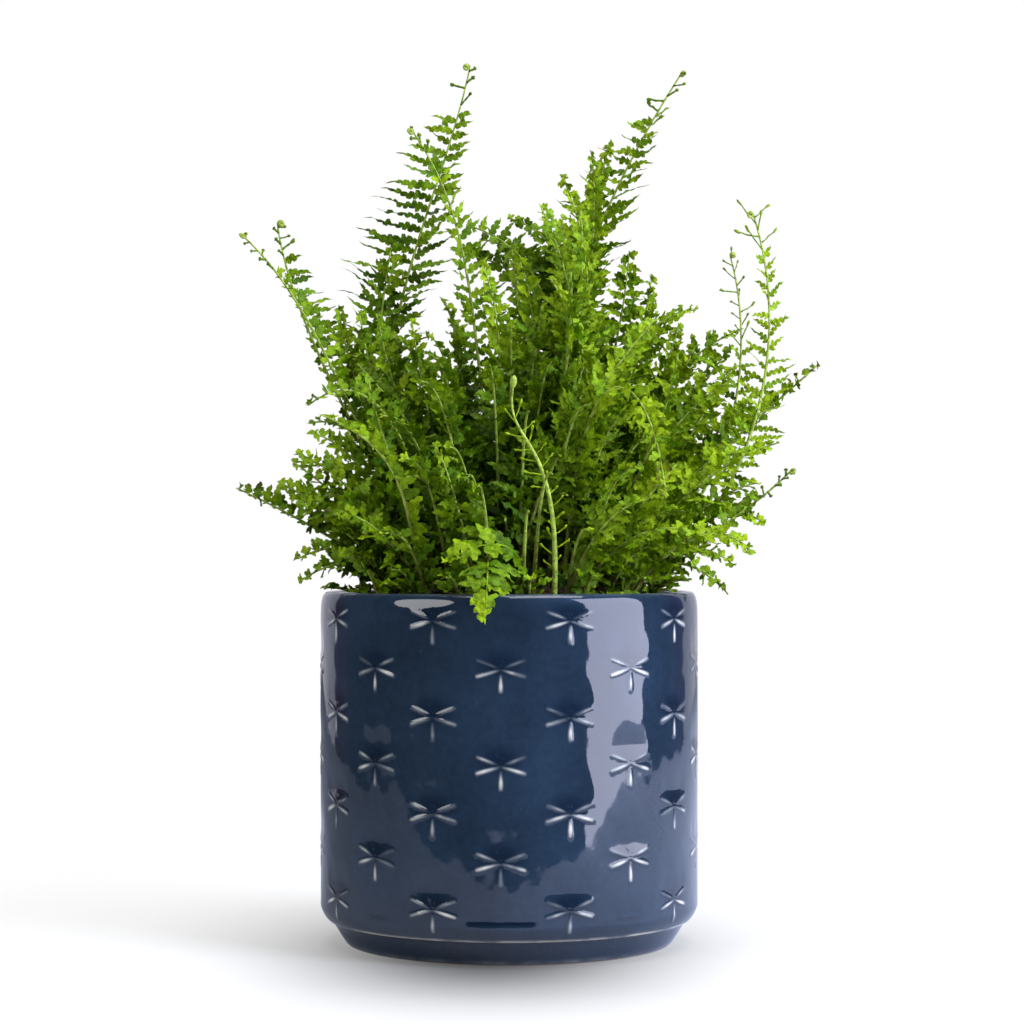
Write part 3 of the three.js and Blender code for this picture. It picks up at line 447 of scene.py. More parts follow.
def add_leaflet(leafage, spot, hand, length, style, rng, tone, brown, sweep, fold):
    """Adds one ruffled, lobed leaflet that grows out of a stem, as a thin closed blade."""
    sweep = math.radians(sweep + rng.normal(0, style["stray"]))
    fold = math.radians(fold + rng.normal(0, style["stray"]))
    flat = hand * math.cos(sweep) * spot["side"] + math.sin(sweep) * spot["along"]
    outward = unit(math.cos(fold) * flat + math.sin(fold) * spot["face"])
    normal = unit(hand * np.cross(outward, spot["along"]))
    across = hand * np.cross(normal, outward)

    lobes = max(2, round(length / style["lobe"]))
    rows = lobes * len(LOBE_OUT)
    strays = rng.uniform(-ROWS["spread"], ROWS["spread"], rows - 1)
    part = (np.arange(rows) + np.append(0, strays)) / rows
    # The blade is broad near its root and tapers to its tip, or to a thread
    body = part / (1 - style["thread"] * rng.uniform(*ROWS["thread"]))
    size = np.minimum(1, BLADE["root"] + BLADE["widens"] * part)
    size = size * np.clip(BLADE["ends"] - body, 0, 1) ** BLADE["power"]
    size = np.maximum(size, BLADE["least"])
    left = edge(rng, style, size, lobes, 0)
    right = edge(rng, style, size, lobes, 1)
    left[0][0] = right[0][0] = BLADE["at_stem"]

    along = part * length
    twist = rng.normal(0, style["twist"])
    twist = np.radians(twist + rng.normal(0, BEND["twist"] * style["twist"]) * part)
    bend = rng.normal(BEND["side"], BEND["spread"])
    droop = style["droop"] + rng.normal(0, BEND["droop_spread"])
    phase = rng.uniform(0, 2 * math.pi)

    def rib(distance):
        share = distance / length
        wave = BEND["wave"] * length * np.sin(phase + BEND["waves"] * share) * share
        over = (bend * share**2 * length + wave)[:, None]
        high = (droop * share**2 * length)[:, None]
        return spot["point"] + distance[:, None] * outward + over * across + high * normal

    turn_across = np.cos(twist)[:, None] * across + np.sin(twist)[:, None] * normal
    turn_normal = np.cos(twist)[:, None] * normal - np.sin(twist)[:, None] * across

    def rim_of(side, out, up, shift):
        foot = rib(along + ROWS["forward"] * out + length / lobes * shift)
        return foot + side * out[:, None] * turn_across + up[:, None] * turn_normal

    middle = rib(along)
    thick = RIB_HEIGHT * np.clip(RIB_FROM - part, RIB_LEAST, 1)[:, None] * turn_normal
    rim = np.stack([rim_of(-1, *left), middle + thick, rim_of(1, *right), middle - thick], 1)
    points = np.concatenate([rim.reshape(-1, 3), rib(np.array([length * ROWS["end"]]))])

    # Painted shade inside the bush, and painted light towards the right
    inside = np.clip(1 - np.hypot(middle[:, 0], middle[:, 1]) / SHADE["reach"], 0, 1)
    inside = inside * np.clip((SHADE["high"] - middle[:, 2]) / (SHADE["high"] - SHADE["low"]), 0, 1)
    side_light = SHADE["to_right"] * np.clip(middle[:, 0] / POT_RADIUS, -1, 1)
    shade = tone + rng.normal(0, TINT["spread"]) + TINT["to_tip"] * part + side_light
    shade = shade - SHADE["depth"] * inside
    # Painted light: lifted lobes and the upper side are painted lighter
    edges = [shade + TINT["edge"] + TINT["lifted_light"] * up for _, up, _ in (left, right)]
    tones = np.stack([edges[0], shade + TINT["top"], edges[1], shade], 1)
    colours = leaf_colour(np.append(tones.ravel(), shade[-1] + TINT["end"]))
    cool = rng.uniform() ** COOL["power"]
    colours = colours * (1 - COOL["red"] * cool, 1 - COOL["green"] * cool, 1) + (0, 0, COOL["blue"] * cool)
    if brown > 0:
        share = np.clip((np.append(np.repeat(part, 4), 1) - 1 + brown) / brown, 0, 1)[:, None]
        colours = colours + (BROWN - colours) * share**BROWN_POWER
    roles = np.tile([Leafage.LEFT, Leafage.INNER, Leafage.RIGHT, Leafage.INNER], rows)
    roles = np.append(roles, Leafage.END)
    leafage.add(points, colours, roles, leaflet_faces(rows, hand), Leafage.LEAF)


FACES = {}


def leaflet_faces(rows, hand):
    """Triangles of a blade with rows of left, upper, right and lower points, and one end point."""
    if (rows, hand) not in FACES:
        faces = np.concatenate([[(0, 3, 1), (1, 3, 2)], sleeve(rows, 4), fan(4 * rows, 4 * (rows - 1), 4)])
        FACES[rows, hand] = faces if hand < 0 else faces[:, ::-1]
    return FACES[rows, hand]


# A direction that no stem starts along, and the number of sides of a stem and of a thin stalk
SKEW = (0.31, 0.95, 0.05)
STEM_SIDES, STALK_SIDES = 6, 5


def add_tube(leafage, points, radii, colours, sides, slot):
    """Adds a closed round tube along a line of points."""
    along = unit(np.gradient(points, axis=0))
    side = unit(np.cross(along[0], SKEW))
    rings = []
    for point, way, radius in zip(points, along, radii):
        side = unit(side - np.dot(side, way) * way)
        other = np.cross(way, side)
        turn = np.arange(sides) * 2 * math.pi / sides
        rings.append(point + radius * (np.cos(turn)[:, None] * side + np.sin(turn)[:, None] * other))
    body = np.array([*np.concatenate(rings), points[0], points[-1] + along[-1] * radii[-1]])
    count = len(points) * sides
    ends = [fan(count, 0, sides)[:, ::-1], fan(count + 1, count - sides, sides)]
    faces = np.concatenate([sleeve(len(points), sides), *ends])
    shades = np.concatenate([np.repeat(colours, sides, axis=0), colours[:1], colours[-1:]])
    leafage.add(body, shades, np.zeros(len(body), int), faces, slot)


STEM_RADII = (0.92, 0.32)
# Stems that are thicker or thinner than usual. Thin ones have their leaflets' green, a little lighter
STEM_SIZE = {"young_front": 1.2, "front_leaf": 0.55, "front_hang": 0.6}
THIN_TONE = 0.2
# A stem's green for its frond's tone, and how brown it is at its foot, up to what share of its length
STEM_TONE = (0.75, 0.5)
OLD = {"from": 1.5, "over": 0.4, "young": 0.15, "usual": 0.65}
# The curl at a young tip: it tightens, leans towards the face and rises a little, and gets thicker
CURL = {"radius": 1.25, "turns": 1.3, "steps": 14, "tightens": 0.6, "leans": 0.35, "rises": 0.5}
CURL_RADII = (0.45, 0.7)
CURL_SIZE = {"young_right": 0.8}
CURL_WAY = {"tall_left": 1, "second_left": 1, "left_long": 1, "young_tall": 1}
BUD = {"frond": "young_front", "along": (0.7, 1.7, 2.8, 3.7, 4.3), "radii": (0.75, 1.05, 1.1, 0.85, 0.45)}


def curl_points(frond, stem):
    """Points of the curl that goes on from a young stem's tip."""
    angle = np.linspace(0, CURL["turns"] * 2 * math.pi, CURL["steps"] + 1)[1:]
    radius = CURL["radius"] * CURL_SIZE.get(frond["name"], 1)
    tight = radius * (1 - CURL["tightens"] * angle / angle[-1])
    last, way, side, face = (stem[key][-1] for key in ("point", "along", "side", "face"))
    inward = unit(-CURL_WAY.get(frond["name"], -1) * side + CURL["leans"] * face)
    centre = last + inward * radius
    curl = centre + tight[:, None] * (np.sin(angle)[:, None] * way - np.cos(angle)[:, None] * inward)
    return curl + CURL["rises"] * (angle / angle[-1])[:, None] * face


def add_stem(leafage, frond, stem, tone):
    """Adds a frond's stem from below the soil to its tip, with the curl or the bud at a young tip."""
    share = stem["at"] / stem["at"][-1]
    radii = STEM_RADII[0] + (STEM_RADII[1] - STEM_RADII[0]) * share
    points = stem["point"]
    tip, tip_radii = [], []
    if frond["name"] == BUD["frond"]:
        tip = points[-1] + np.array(BUD["along"])[:, None] * stem["along"][-1]
        tip_radii = BUD["radii"]
    elif frond["curled"]:
        tip = curl_points(frond, stem)
        tip_radii = np.linspace(*CURL_RADII, CURL["steps"])
    foot = points[0] - (0, 0, ROOT_DEPTH)
    points = np.array([foot, *points, *tip])
    size = STEM_SIZE.get(frond["name"], 1)
    radii = np.array([radii[0], *radii, *tip_radii]) * size
    share = np.array([0, *share, *np.ones(len(tip))])
    green = STEM_GREEN * (STEM_TONE[0] + STEM_TONE[1] * tone)
    if size < 1:
        green = leaf_colour(np.array([tone + THIN_TONE]))[0]
    most = OLD["young"] if frond["young"] else OLD["usual"]
    old = np.clip(OLD["from"] - share / OLD["over"], 0, 1)[:, None] * most
    colours = green + (STEM_BROWN - green) * old
    add_tube(leafage, points, radii, colours, STEM_SIDES, Leafage.STEM)


# Where a young frond stands free before the bush, as lowest and highest corner
CLEARING = ((-12, -90, 136), (26, -41, 210))
CLEARED_FOR = ("young_front", "front_leaf", "front_hang")
# How far out a leaflet is taken to reach for that, as a share of its frond's width
CLEARING_REACH = 0.6


def leaflet_share(share):
    """How long a leaflet is, as a share of the frond's width, along the leafy part."""
    root, widest_at, tip, power = TAPER
    if share < widest_at:
        return root + (1 - root) * math.sin(math.pi / 2 * share / widest_at)
    return 1 - (1 - tip) * ((share - widest_at) / (1 - widest_at)) ** power


# A young leaflet's stalk: places along it, its radii there, the spreads of its way, its bend and its size
KNOB_AT = np.array((0, 0.25, 0.5, 0.72, 0.84, 0.94, 1.0))
KNOB_RADII = np.array((0.4, 0.26, 0.32, 0.24, 0.5, 0.56, 0.3))
KNOB = {"sweep": 15, "face": 0.18, "bend": 0.12, "wobble": 0.035, "size": (0.8, 1.25)}


def add_knob(leafage, spot, hand, length, rng, colour, sweep, swell):
    """Adds a young leaflet that is still a thin stalk with a rolled end."""
    sweep = math.radians(sweep + rng.normal(0, KNOB["sweep"]))
    outward = unit(hand * math.cos(sweep) * spot["side"] + math.sin(sweep) * spot["along"])
    outward = unit(outward + rng.normal(0, KNOB["face"]) * spot["face"])
    curve = (KNOB["bend"] * KNOB_AT**2 * length)[:, None] * spot["along"]
    points = spot["point"] + (KNOB_AT * length)[:, None] * outward + curve
    radii = KNOB_RADII * swell * rng.uniform(*KNOB["size"])
    wobble = rng.normal(0, KNOB["wobble"] * length, (len(KNOB_AT), 1))
    points = points + wobble * KNOB_AT[:, None] * spot["along"]
    add_tube(leafage, points, radii, np.tile(colour, (len(KNOB_AT), 1)), STALK_SIDES, Leafage.LEAF)


# How a frond grows: the first seed, the step along its stem, its least number of leaflet pairs, how far the
# two of a pair stand apart, and the spreads of its tone and of its leaflets' length
FIRST_SEED, STEM_STEP, LEAST_PAIRS, PAIR_APART = 1000, 3.6, 4, 0.25
FROND_TONE, LEAFLET_SIZE = 0.12, (0.8, 1.16)
# The knobs of a young frond and those of an older one's top: their lengths, sweeps, swelling and tones
YOUNG_KNOB = {"length": (0.35, 0.9), "sweep": 42, "swell": 0.85}
TOP_KNOB = {"share": 0.8, "least": 2.6, "sweep": 6, "swell": 1.35}
KNOB_TONE = 0.1
# The bud's stem has no knobs near its end
BARE_UNDER_BUD = 0.88
# Brown ends: how much of a leaflet, and the share of a tall and of a usual frond's leaflets that have them
BROWN_END = {"length": 0.3, "tall": 0.45, "usual": 0.03}
BROWN_TOP = {"from": 0.85, "length": 0.9}


def grow(leafage, frond, number):
    """Adds a whole frond: its stem with all its leaflets."""
    rng = np.random.default_rng(FIRST_SEED + number)
    name = frond["name"]
    kind = "young" if frond["young"] else STYLE_OF.get(name, "bush")
    style = dict(zip(STYLE_KEYS, STYLES[kind]))
    tone = TONES.get(name, USUAL_TONE + rng.uniform(-FROND_TONE, FROND_TONE))
    stem = stem_of(frond, STEM_STEP)
    add_stem(leafage, frond, stem, tone)
    length = stem["at"][-1]
    leafy = length * frond["bare"] * style["bare"]
    pairs = max(LEAST_PAIRS, round((length - leafy) / style["pitch"]))
    shares, sweeps = UNEVEN.get(name, ((1, 1), None))
    for i in range(pairs):
        share = (i + 0.5) / pairs
        for hand in (1, -1):
            spot = place_on(stem, leafy + (length - leafy) * (share + PAIR_APART * hand / pairs))
            reach = spot["point"] + hand * frond["width"] * CLEARING_REACH * spot["side"]
            if name not in CLEARED_FOR and ((reach > CLEARING[0]) & (reach < CLEARING[1])).all():
                continue
            sweep = sweeps[hand > 0] if sweeps else ROOT_SWEEP + (TIP_SWEEP - ROOT_SWEEP) * share
            size = frond["width"] * shares[hand > 0] * leaflet_share(share) * rng.uniform(*LEAFLET_SIZE)
            if share > KNOBS_FROM.get(name, 1):
                colour = leaf_colour(np.array([tone + rng.uniform(-KNOB_TONE, KNOB_TONE)]))[0]
                if name == BUD["frond"] and share > BARE_UNDER_BUD:
                    continue
                if frond["young"]:
                    stalk = frond["width"] * rng.uniform(*YOUNG_KNOB["length"])
                    knob = (stalk, rng, colour, YOUNG_KNOB["sweep"], YOUNG_KNOB["swell"])
                    add_knob(leafage, spot, hand, *knob)
                elif rng.uniform() < TOP_KNOB["share"]:
                    stalk = max(TOP_KNOB["least"], size)
                    knob = (stalk, rng, colour, sweep + TOP_KNOB["sweep"], TOP_KNOB["swell"])
                    add_knob(leafage, spot, hand, *knob)
                continue
            browned = BROWN_END["tall" if kind == "tall" else "usual"]
            brown = BROWN_END["length"] * (rng.uniform() < browned)
            if name in BROWN_ENDS and share > BROWN_TOP["from"]:
                brown = BROWN_TOP["length"]
            lighter = SLOPE.get(name, USUAL_SLOPE) * (share - SLOPE_MIDDLE)
            add_leaflet(leafage, spot, hand, size, style, rng, tone + lighter, brown, sweep, frond["fold"])


def socket(node, name):
    return next(s for s in node.inputs if s.name == name and s.enabled)


def adder(tree):
    """A way to add nodes to a tree, with their inputs joined or set."""

    def add(kind, links=None, **values):
        node = tree.nodes.new(kind)
        for key, value in values.items():
            setattr(node, key, value)
        join(tree, node, links or {})
        return node

    return add


def join(tree, node, links):
    """Joins a node's inputs to other nodes' outputs, or sets them."""
    for key, value in links.items():
        place = node.inputs[key] if isinstance(key, int) else socket(node, key)
        if isinstance(value, bpy.types.NodeSocket):
            tree.links.new(value, place)
        else:
            place.default_value = value


def ramp(add, source, stops):
    """The colours of a ramp with stops, each a place from 0 to 1 and a colour."""
    node = add("ShaderNodeValToRGB", {"Fac": source})
    elements = node.color_ramp.elements
    while len(elements) < len(stops):
        elements.new(0.5)
    for element, (place, colour) in zip(elements, stops):
        element.position = place
        element.color = (*colour, 1)
    return node.outputs["Color"]


def new_material(name):
    """A material with its tree, its Principled shader and a way to add joined nodes."""
    material = bpy.data.materials.new(name)
    material.use_nodes = True
    tree = material.node_tree
    return material, tree, tree.nodes["Principled BSDF"], adder(tree)


def ranged(add, value, low_high, to=(0.0, 1.0)):
    """A value moved from one range to another, and held there."""
    ends = zip(("From Min", "From Max", "To Min", "To Max"), (*low_high, *to))
    return add("ShaderNodeMapRange", {"Value": value, **dict(ends)}).outputs["Result"]


def noise(add, where, scale, detail, rough=0.5):
    links = {"Vector": where, "Scale": scale, "Detail": detail, "Roughness": rough}
    return add("ShaderNodeTexNoise", links).outputs["Fac"]


def bumped(add, height, strength, distance):
    links = {"Height": height, "Strength": strength, "Distance": distance}
    return add("ShaderNodeBump", links).outputs["Normal"]


def math_node(add, operation, *numbers):
    return add("ShaderNodeMath", dict(enumerate(numbers)), operation=operation).outputs["Value"]


def mix(add, share, first, second, blend="MIX"):
    """A share of the second colour in the first."""
    links = {"Factor": share, "A": first, "B": second}
    node = add("ShaderNodeMix", links, data_type="RGBA", blend_type=blend)
    return next(place for place in node.outputs if place.enabled)


def mix_shader(add, share, first, second):
    return add("ShaderNodeMixShader", {0: share, 1: first, 2: second}).outputs["Shader"]


# How much light a leaf lets through, how the small blotches vary its green, and the glow of its other side
LEAF_THROUGH, BLOTCHES, GLOW = 0.32, (0.5, 1.5), 1.7


def leaf_material(name, through):
    """Leaf green from the points' tint with painted shade and light, small blotches, a fine grain and light
    shining through.
    """
    material, tree, shader, add = new_material(name)
    tint = add("ShaderNodeAttribute", attribute_name="tint").outputs["Color"]
    where = add("ShaderNodeTexCoord").outputs["Object"]
    light = ranged(add, noise(add, where, scale=420.0, detail=4.0, rough=0.65), (0.3, 0.7), BLOTCHES)
    colour = add("ShaderNodeHueSaturation", {"Color": tint, "Value": light}).outputs["Color"]
    normal = bumped(add, noise(add, where, scale=620.0, detail=3.0), strength=0.8, distance=0.0012)
    links = {"Base Color": colour, "Normal": normal, "Roughness": 0.34}
    join(tree, shader, {**links, "Specular IOR Level": 0.25, "Specular Tint": (0.97, 1, 0.45, 1)})
    if through:
        behind = add("ShaderNodeHueSaturation", {"Color": colour, "Value": GLOW}).outputs["Color"]
        glow = add("ShaderNodeBsdfTranslucent", {"Color": behind}).outputs["BSDF"]
        mixed = mix_shader(add, through, shader.outputs["BSDF"], glow)
        tree.links.new(mixed, tree.nodes["Material Output"].inputs["Surface"])
    return material


LEAF = leaf_material("leaf_green", LEAF_THROUGH)
STEM = leaf_material("stem_green", 0)


def dress(name, fronds, first):
    """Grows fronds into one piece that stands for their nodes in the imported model."""
    leafage = Leafage()
    for i, frond in enumerate(fronds):
        grow(leafage, frond, first + i)
    piece = leafage.piece(name, (LEAF, STEM))
    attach(piece, "root")
    modelled = [f"frond_{frond['name']}" for frond in fronds if f"frond_{frond['name']}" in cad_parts]
    if modelled:
        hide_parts(*modelled)
    return piece


def all_fronds():
    number = 0
    for rows, young in ((NAMED_FRONDS, False), (YOUNG_FRONDS, True)):
        for row in rows:
            frond = dict(zip(KEYS, row))
            frond.update(young=young, curled=young or frond["name"] in CURLED)
            dress(f"leafy_{frond['name']}", [frond], number)
            number += 1
    extra = [dict(zip(KEYS, row), young=False, curled=False) for row in EXTRA_FRONDS]
    dress("leafy_extra", extra, number)
    number += len(extra)
    cross = [dict(zip(KEYS, row), young=False, curled=False) for row in CROSS_FRONDS + GAP_FRONDS]
    dress("leafy_cross", cross, number)
    number += len(cross)
    low = []
    for ring, row in enumerate(RINGS):
        fronds = [dict(frond, curled=False, young=False) for frond in ring_fronds(ring, row)]
        if row[0] in LOW_RINGS:
            low += fronds
        else:
            dress(f"leafy_{row[0]}", fronds, number)
            number += len(fronds)
    dress("leafy_low", low, number)


# The pot's outline from the axis under it, up the outside and down the inside, in millimetres
WALL_TOP = 119
WALL_FOOT = 14.5
OUTER_FOOT = [
    (0, 0.9), (40, 0.9), (54, 0.9), (55, 0.2), (56, 0), (59.2, 0), (60.1, 0.25), (60.7, 0.8), (61.9, 2.6),
    (63.3, 4.8), (64.7, 7.1), (65.5, 8.5), (65.9, 8.9), (66.5, 8.95), (67.1, 9.15), (67.6, 9.6),
    (68.2, 10.3), (68.9, 11.4), (69.5, 12.7), (69.85, 13.7),
]
RIDGE = (67.1, 9.3)
FOOT_EDGE = (60.7, 0.8)
OUTER_TOP = [
    (69.98, 121), (69.93, 123), (69.82, 125), (69.6, 126.6), (69.25, 128), (68.7, 129.1), (67.9, 129.8),
    (66.9, 130), (65.9, 129.7), (65.1, 129), (64.65, 128), (64.5, 126.5), (64.5, 110), (64.5, 60),
    (64.5, 20), (63.9, 13), (62, 9.6), (58.5, 8), (30, 8), (0, 8),
]
POT_COLUMNS = 216
# Rows on the wall: their step, and how many finer ones lie at its foot, up to what height
WALL_STEP, FINE_ROWS, FINE_TOP = 1.9, 10, 20
# The faces near a stroke are halved twice, within these distances
REFINE_WITHIN = (4.2, 1.5)
RELIEF_FROM, RELIEF_TO = 11, 127

# One dragonfly, across and up from its body's middle: strokes from root to end, with their height
STROKES = [
    # root, end, height, how pale
    ((1.3, 0.8), (8.2, 3.3), 0.17, 0.72),
    ((0.5, -0.1), (8.3, -2.3), 0.23, 1),
    ((0, -1.7), (0.15, -7.6), 0.24, 0.95),
]
# A stroke's half width, with its share at the root and its growth, and how its height swells along it
STROKE_HALF, STROKE_WIDTH = 0.78, (0.75, 0.35)
STROKE_SWELL = {"least": 0.3, "more": 0.7, "over": 0.72, "from": 0.06}
# root, end and height of a feeler
FEELER = ((0.3, 1.2), (1.3, 4.2), 0.025)
FEELER_HALF, FEELER_PALE = 0.3, 0.3
# The hollow over a dragonfly: where it starts, is deepest and ends, and where up the wall it runs out
HOLLOW = {"from": 1.2, "deepest": 6, "back": 10.5, "half": 7.8, "depth": 0.27, "up_to": 122.5, "fade": 3}
HOLLOW_ROUND = {"out": 1.2, "up": 1.4}
POOL = {"up": -0.6, "across": 11.5, "high": 8.5, "depth": 0.06}
# A faint groove round the wall's foot, which comes and goes, with a bar of painted shade in it, for the dark
# reflection there
GROOVE = {"at": 17.2, "half": 2.1, "waves": 9, "depth": (0.12, 0.07), "length": (-0.4, 0.7), "ends": 3}
BAR = {"at": 15.9, "half": 0.9}
# Where the glaze lies thick round a dragonfly and looks darker
DARKER = {"up": 2.2, "across": 7.5, "high": 4.6, "depth": 0.85}
# The slow unevenness of the glazed wall, as waves: height, waves round the pot, start, and turn with height
RIPPLES = (
    (0.05, 3, 0.6, 0.021),
    (0.03, 9, 1.9, -0.052),
    (0.018, 17, 0.4, 0.113),
    (0.012, 31, -2.2, -0.17),
    (0.01, 47, 0.9, 0.43),
    (0.006, 61, -1.3, -0.61),
)
# Where up the wall the relief and the ripples start or end, and over what height
RELIEF_START, RELIEF_END, RIPPLE_START = (9.8, 2), (127, 3), (9, 8)


def rising(z, start, over):
    """A share that grows from 0 at a height to 1 some way above it."""
    return np.clip((z - start) / over, 0, 1)


def to_stroke(x, y, start, end):
    """Distance of points from a stroke, and how far along it they are."""
    way = np.subtract(end, start)
    share = ((x - start[0]) * way[0] + (y - start[1]) * way[1]) / (way @ way)
    held = np.clip(share, 0, 1)
    return np.hypot(x - start[0] - held * way[0], y - start[1] - held * way[1]), held


def bowl(x, y, up, across, high, depth):
    return depth * np.exp(-(((x / across) ** 2 + ((y - up) / high) ** 2) ** 1.5))


def hollow(x, y):
    """Depth of the hollow over a dragonfly."""
    rise = rising(y, HOLLOW["from"], HOLLOW["deepest"] - HOLLOW["from"])
    back = rising(y, HOLLOW["deepest"], HOLLOW["back"])
    back = 1 - back**2 * (3 - 2 * back)
    return HOLLOW["depth"] * rise * back * np.exp(-((x / HOLLOW["half"]) ** 6))


def relief(x, y, hollowed):
    """Height of a dragonfly's relief over the wall, and how much of a crest each point is."""
    x = np.abs(x)
    height = -hollowed * hollow(x, y) - bowl(x, y, **POOL)
    crest = np.zeros_like(height)
    for start, end, high, pale in STROKES:
        distance, share = to_stroke(x, y, start, end)
        along = np.clip(share * STROKE_SWELL["over"] + STROKE_SWELL["from"], 0, 1)
        swell = STROKE_SWELL["least"] + STROKE_SWELL["more"] * np.sin(math.pi * along)
        half = STROKE_HALF * (STROKE_WIDTH[0] + STROKE_WIDTH[1] * share)
        ridge = swell * np.exp(-((distance / half) ** 2))
        height = height + high * ridge
        crest = np.maximum(crest, pale * ridge)
    distance, _ = to_stroke(x, y, *FEELER[:2])
    feeler = np.exp(-((distance / FEELER_HALF) ** 2))
    return height + FEELER[2] * feeler, np.maximum(crest, FEELER_PALE * feeler)


def motif_turn(angle):
    """A turn round the pot, counted from the column of dragonflies in front."""
    return angle - math.radians(DRAGONFLY["turn"] - 90)


def motif_place(angle, z):
    """Points across and up from the middle of the dragonfly whose place on the wall they share."""
    pitch = DRAGONFLY["row_pitch"]
    slot = 2 * math.pi / DRAGONFLY["columns"]
    column = np.round(motif_turn(angle) / slot)
    across = POT_RADIUS * (motif_turn(angle) - column * slot)
    short = np.mod(column, 2) == 0
    first = DRAGONFLY["top_row"] - short * pitch / 2
    row = np.clip(np.round((first - z) / pitch), 0, DRAGONFLY["long_rows"] - 1 - short)
    return across, z - (first - row * pitch)


def ripple(angle, z):
    return sum(size * np.sin(waves * angle + start + z * turn) for size, waves, start, turn in RIPPLES)


def long_or_short(angle, usual, more):
    """A measure of the groove's bars that is large at every third one."""
    return usual + more * np.cos(GROOVE["waves"] / 3 * motif_turn(angle))


def groove_shows(angle):
    """Where round the wall the groove at its foot shows, from 0 to 1."""
    bars = long_or_short(angle, *GROOVE["length"]) + np.cos(GROOVE["waves"] * motif_turn(angle))
    return np.clip(GROOVE["ends"] * bars, 0, 1)


def wall_height(angle, z):
    """How far the wall's surface stands out from its plain outline, and how much of a crest it is."""
    hollowed = np.clip((HOLLOW["up_to"] - z) / HOLLOW["fade"], 0, 1)
    height, crest = relief(*motif_place(angle, z), hollowed)
    fade = rising(z, *RELIEF_START) * np.clip((RELIEF_END[0] - z) / RELIEF_END[1], 0, 1)
    groove = np.exp(-(((z - GROOVE["at"]) / GROOVE["half"]) ** 2))
    groove = long_or_short(angle, *GROOVE["depth"]) * groove * groove_shows(angle)
    return fade * height + ripple(angle, z) * rising(z, *RIPPLE_START) - groove, fade * crest


def near_stroke(angle, z, reach):
    """Which points lie within reach of a stroke, or of a hollow's edge when the reach is the wide one."""
    x, y = motif_place(angle, z)
    x = np.abs(x)
    closest = [to_stroke(x, y, *row[:2])[0] for row in STROKES]
    in_hollow = (x < HOLLOW["half"] + HOLLOW_ROUND["out"]) & (y > 0)
    in_hollow = in_hollow & (y < HOLLOW["deepest"] + HOLLOW_ROUND["up"])
    return (np.min(closest, axis=0) < reach) | (in_hollow & (reach == REFINE_WITHIN[0]))


def pot_mesh():
    """The whole pot as one closed mesh, finer round its dragonflies."""
    low = np.linspace(WALL_FOOT, FINE_TOP, FINE_ROWS)
    wall = np.append(low, np.linspace(FINE_TOP, WALL_TOP, round((WALL_TOP - FINE_TOP) / WALL_STEP) + 1)[1:])
    profile = OUTER_FOOT + [(POT_RADIUS, z) for z in wall] + OUTER_TOP
    turn = np.arange(POT_COLUMNS) * 2 * math.pi / POT_COLUMNS
    shape = bmesh.new()
    rings = []
    for radius, z in profile:
        if radius == 0:
            rings.append([shape.verts.new((0, 0, z))] * POT_COLUMNS)
        else:
            rings.append([shape.verts.new((radius * math.cos(t), radius * math.sin(t), z)) for t in turn])
    for low, high in zip(rings, rings[1:]):
        for k in range(POT_COLUMNS):
            after = (k + 1) % POT_COLUMNS
            corners = dict.fromkeys((low[k], low[after], high[after], high[k]))
            shape.faces.new(tuple(corners))
    for reach in REFINE_WITHIN:
        x, y, z = np.array([f.calc_center_median() for f in shape.faces]).T
        chosen = (np.hypot(x, y) > POT_RADIUS - 1) & near_stroke(np.arctan2(y, x), z, reach)
        chosen = chosen & (z > RELIEF_FROM) & (z < RELIEF_TO)
        faces = [f for f, pick in zip(shape.faces, chosen) if pick]
        edges = list({e for f in faces for e in f.edges})
        bmesh.ops.subdivide_edges(shape, edges=edges, cuts=1, use_grid_fill=True)
    bmesh.ops.triangulate(shape, faces=shape.faces[:])
    mesh = bpy.data.meshes.new("glazed_pot")
    shape.to_mesh(mesh)
    shape.free()
    return mesh


# The pot's outside above its foot, by radius and height, and where the wall with its relief begins
OUTSIDE_FROM, RELIEF_WALL_FROM = (67, 9.1), 11.5
# Step for the slope of the relief, in millimetres
SLOPE_STEP = 0.05


def shape_pot(mesh):
    """Raises the dragonflies and the glaze's unevenness, and paints thin and pooled glaze, painted shade and
    painted highlights.
    """
    flat = np.empty(len(mesh.vertices) * 3)
    mesh.vertices.foreach_get("co", flat)
    points = flat.reshape(-1, 3)
    radius = np.hypot(points[:, 0], points[:, 1])
    angle = np.arctan2(points[:, 1], points[:, 0])
    z = points[:, 2].copy()
    outer = (radius > OUTSIDE_FROM[0]) & (z > OUTSIDE_FROM[1])
    on_wall = outer & (z > RELIEF_WALL_FROM) & (z < RELIEF_TO)
    # Points that were added between two on the round wall go back out to it
    rounding = outer & (z >= WALL_FOOT) & (z <= WALL_TOP)
    radius[rounding] = POT_RADIUS
    height, crest = wall_height(angle, z)
    turn = SLOPE_STEP / POT_RADIUS
    around = wall_height(angle + turn, z)[0] - wall_height(angle - turn, z)[0]
    upward = wall_height(angle, z + SLOPE_STEP)[0] - wall_height(angle, z - SLOPE_STEP)[0]
    slopes = np.stack([around, upward], 1) / (2 * SLOPE_STEP)
    radius = radius + np.where(outer, height, 0)
    points[:, 0] = radius * np.cos(angle)
    points[:, 1] = radius * np.sin(angle)
    mesh.vertices.foreach_set("co", (points * MM).ravel())
    mesh.update()
    mesh.shade_smooth()
    plain = np.empty(len(mesh.vertices) * 3)
    mesh.vertex_normals.foreach_get("vector", plain)
    normals = plain.reshape(-1, 3)
    out = np.stack([np.cos(angle), np.sin(angle), np.zeros_like(angle)], 1)
    sideways = np.stack([-np.sin(angle), np.cos(angle), np.zeros_like(angle)], 1)
    exact = out - slopes[:, :1] * sideways
    exact[:, 2] -= slopes[:, 1]
    use = on_wall & rounding
    normals[use] = unit(exact)[use]
    mesh.normals_split_custom_set_from_vertices(normals.tolist())
    paint_glaze(mesh, radius, angle, z, crest, on_wall)
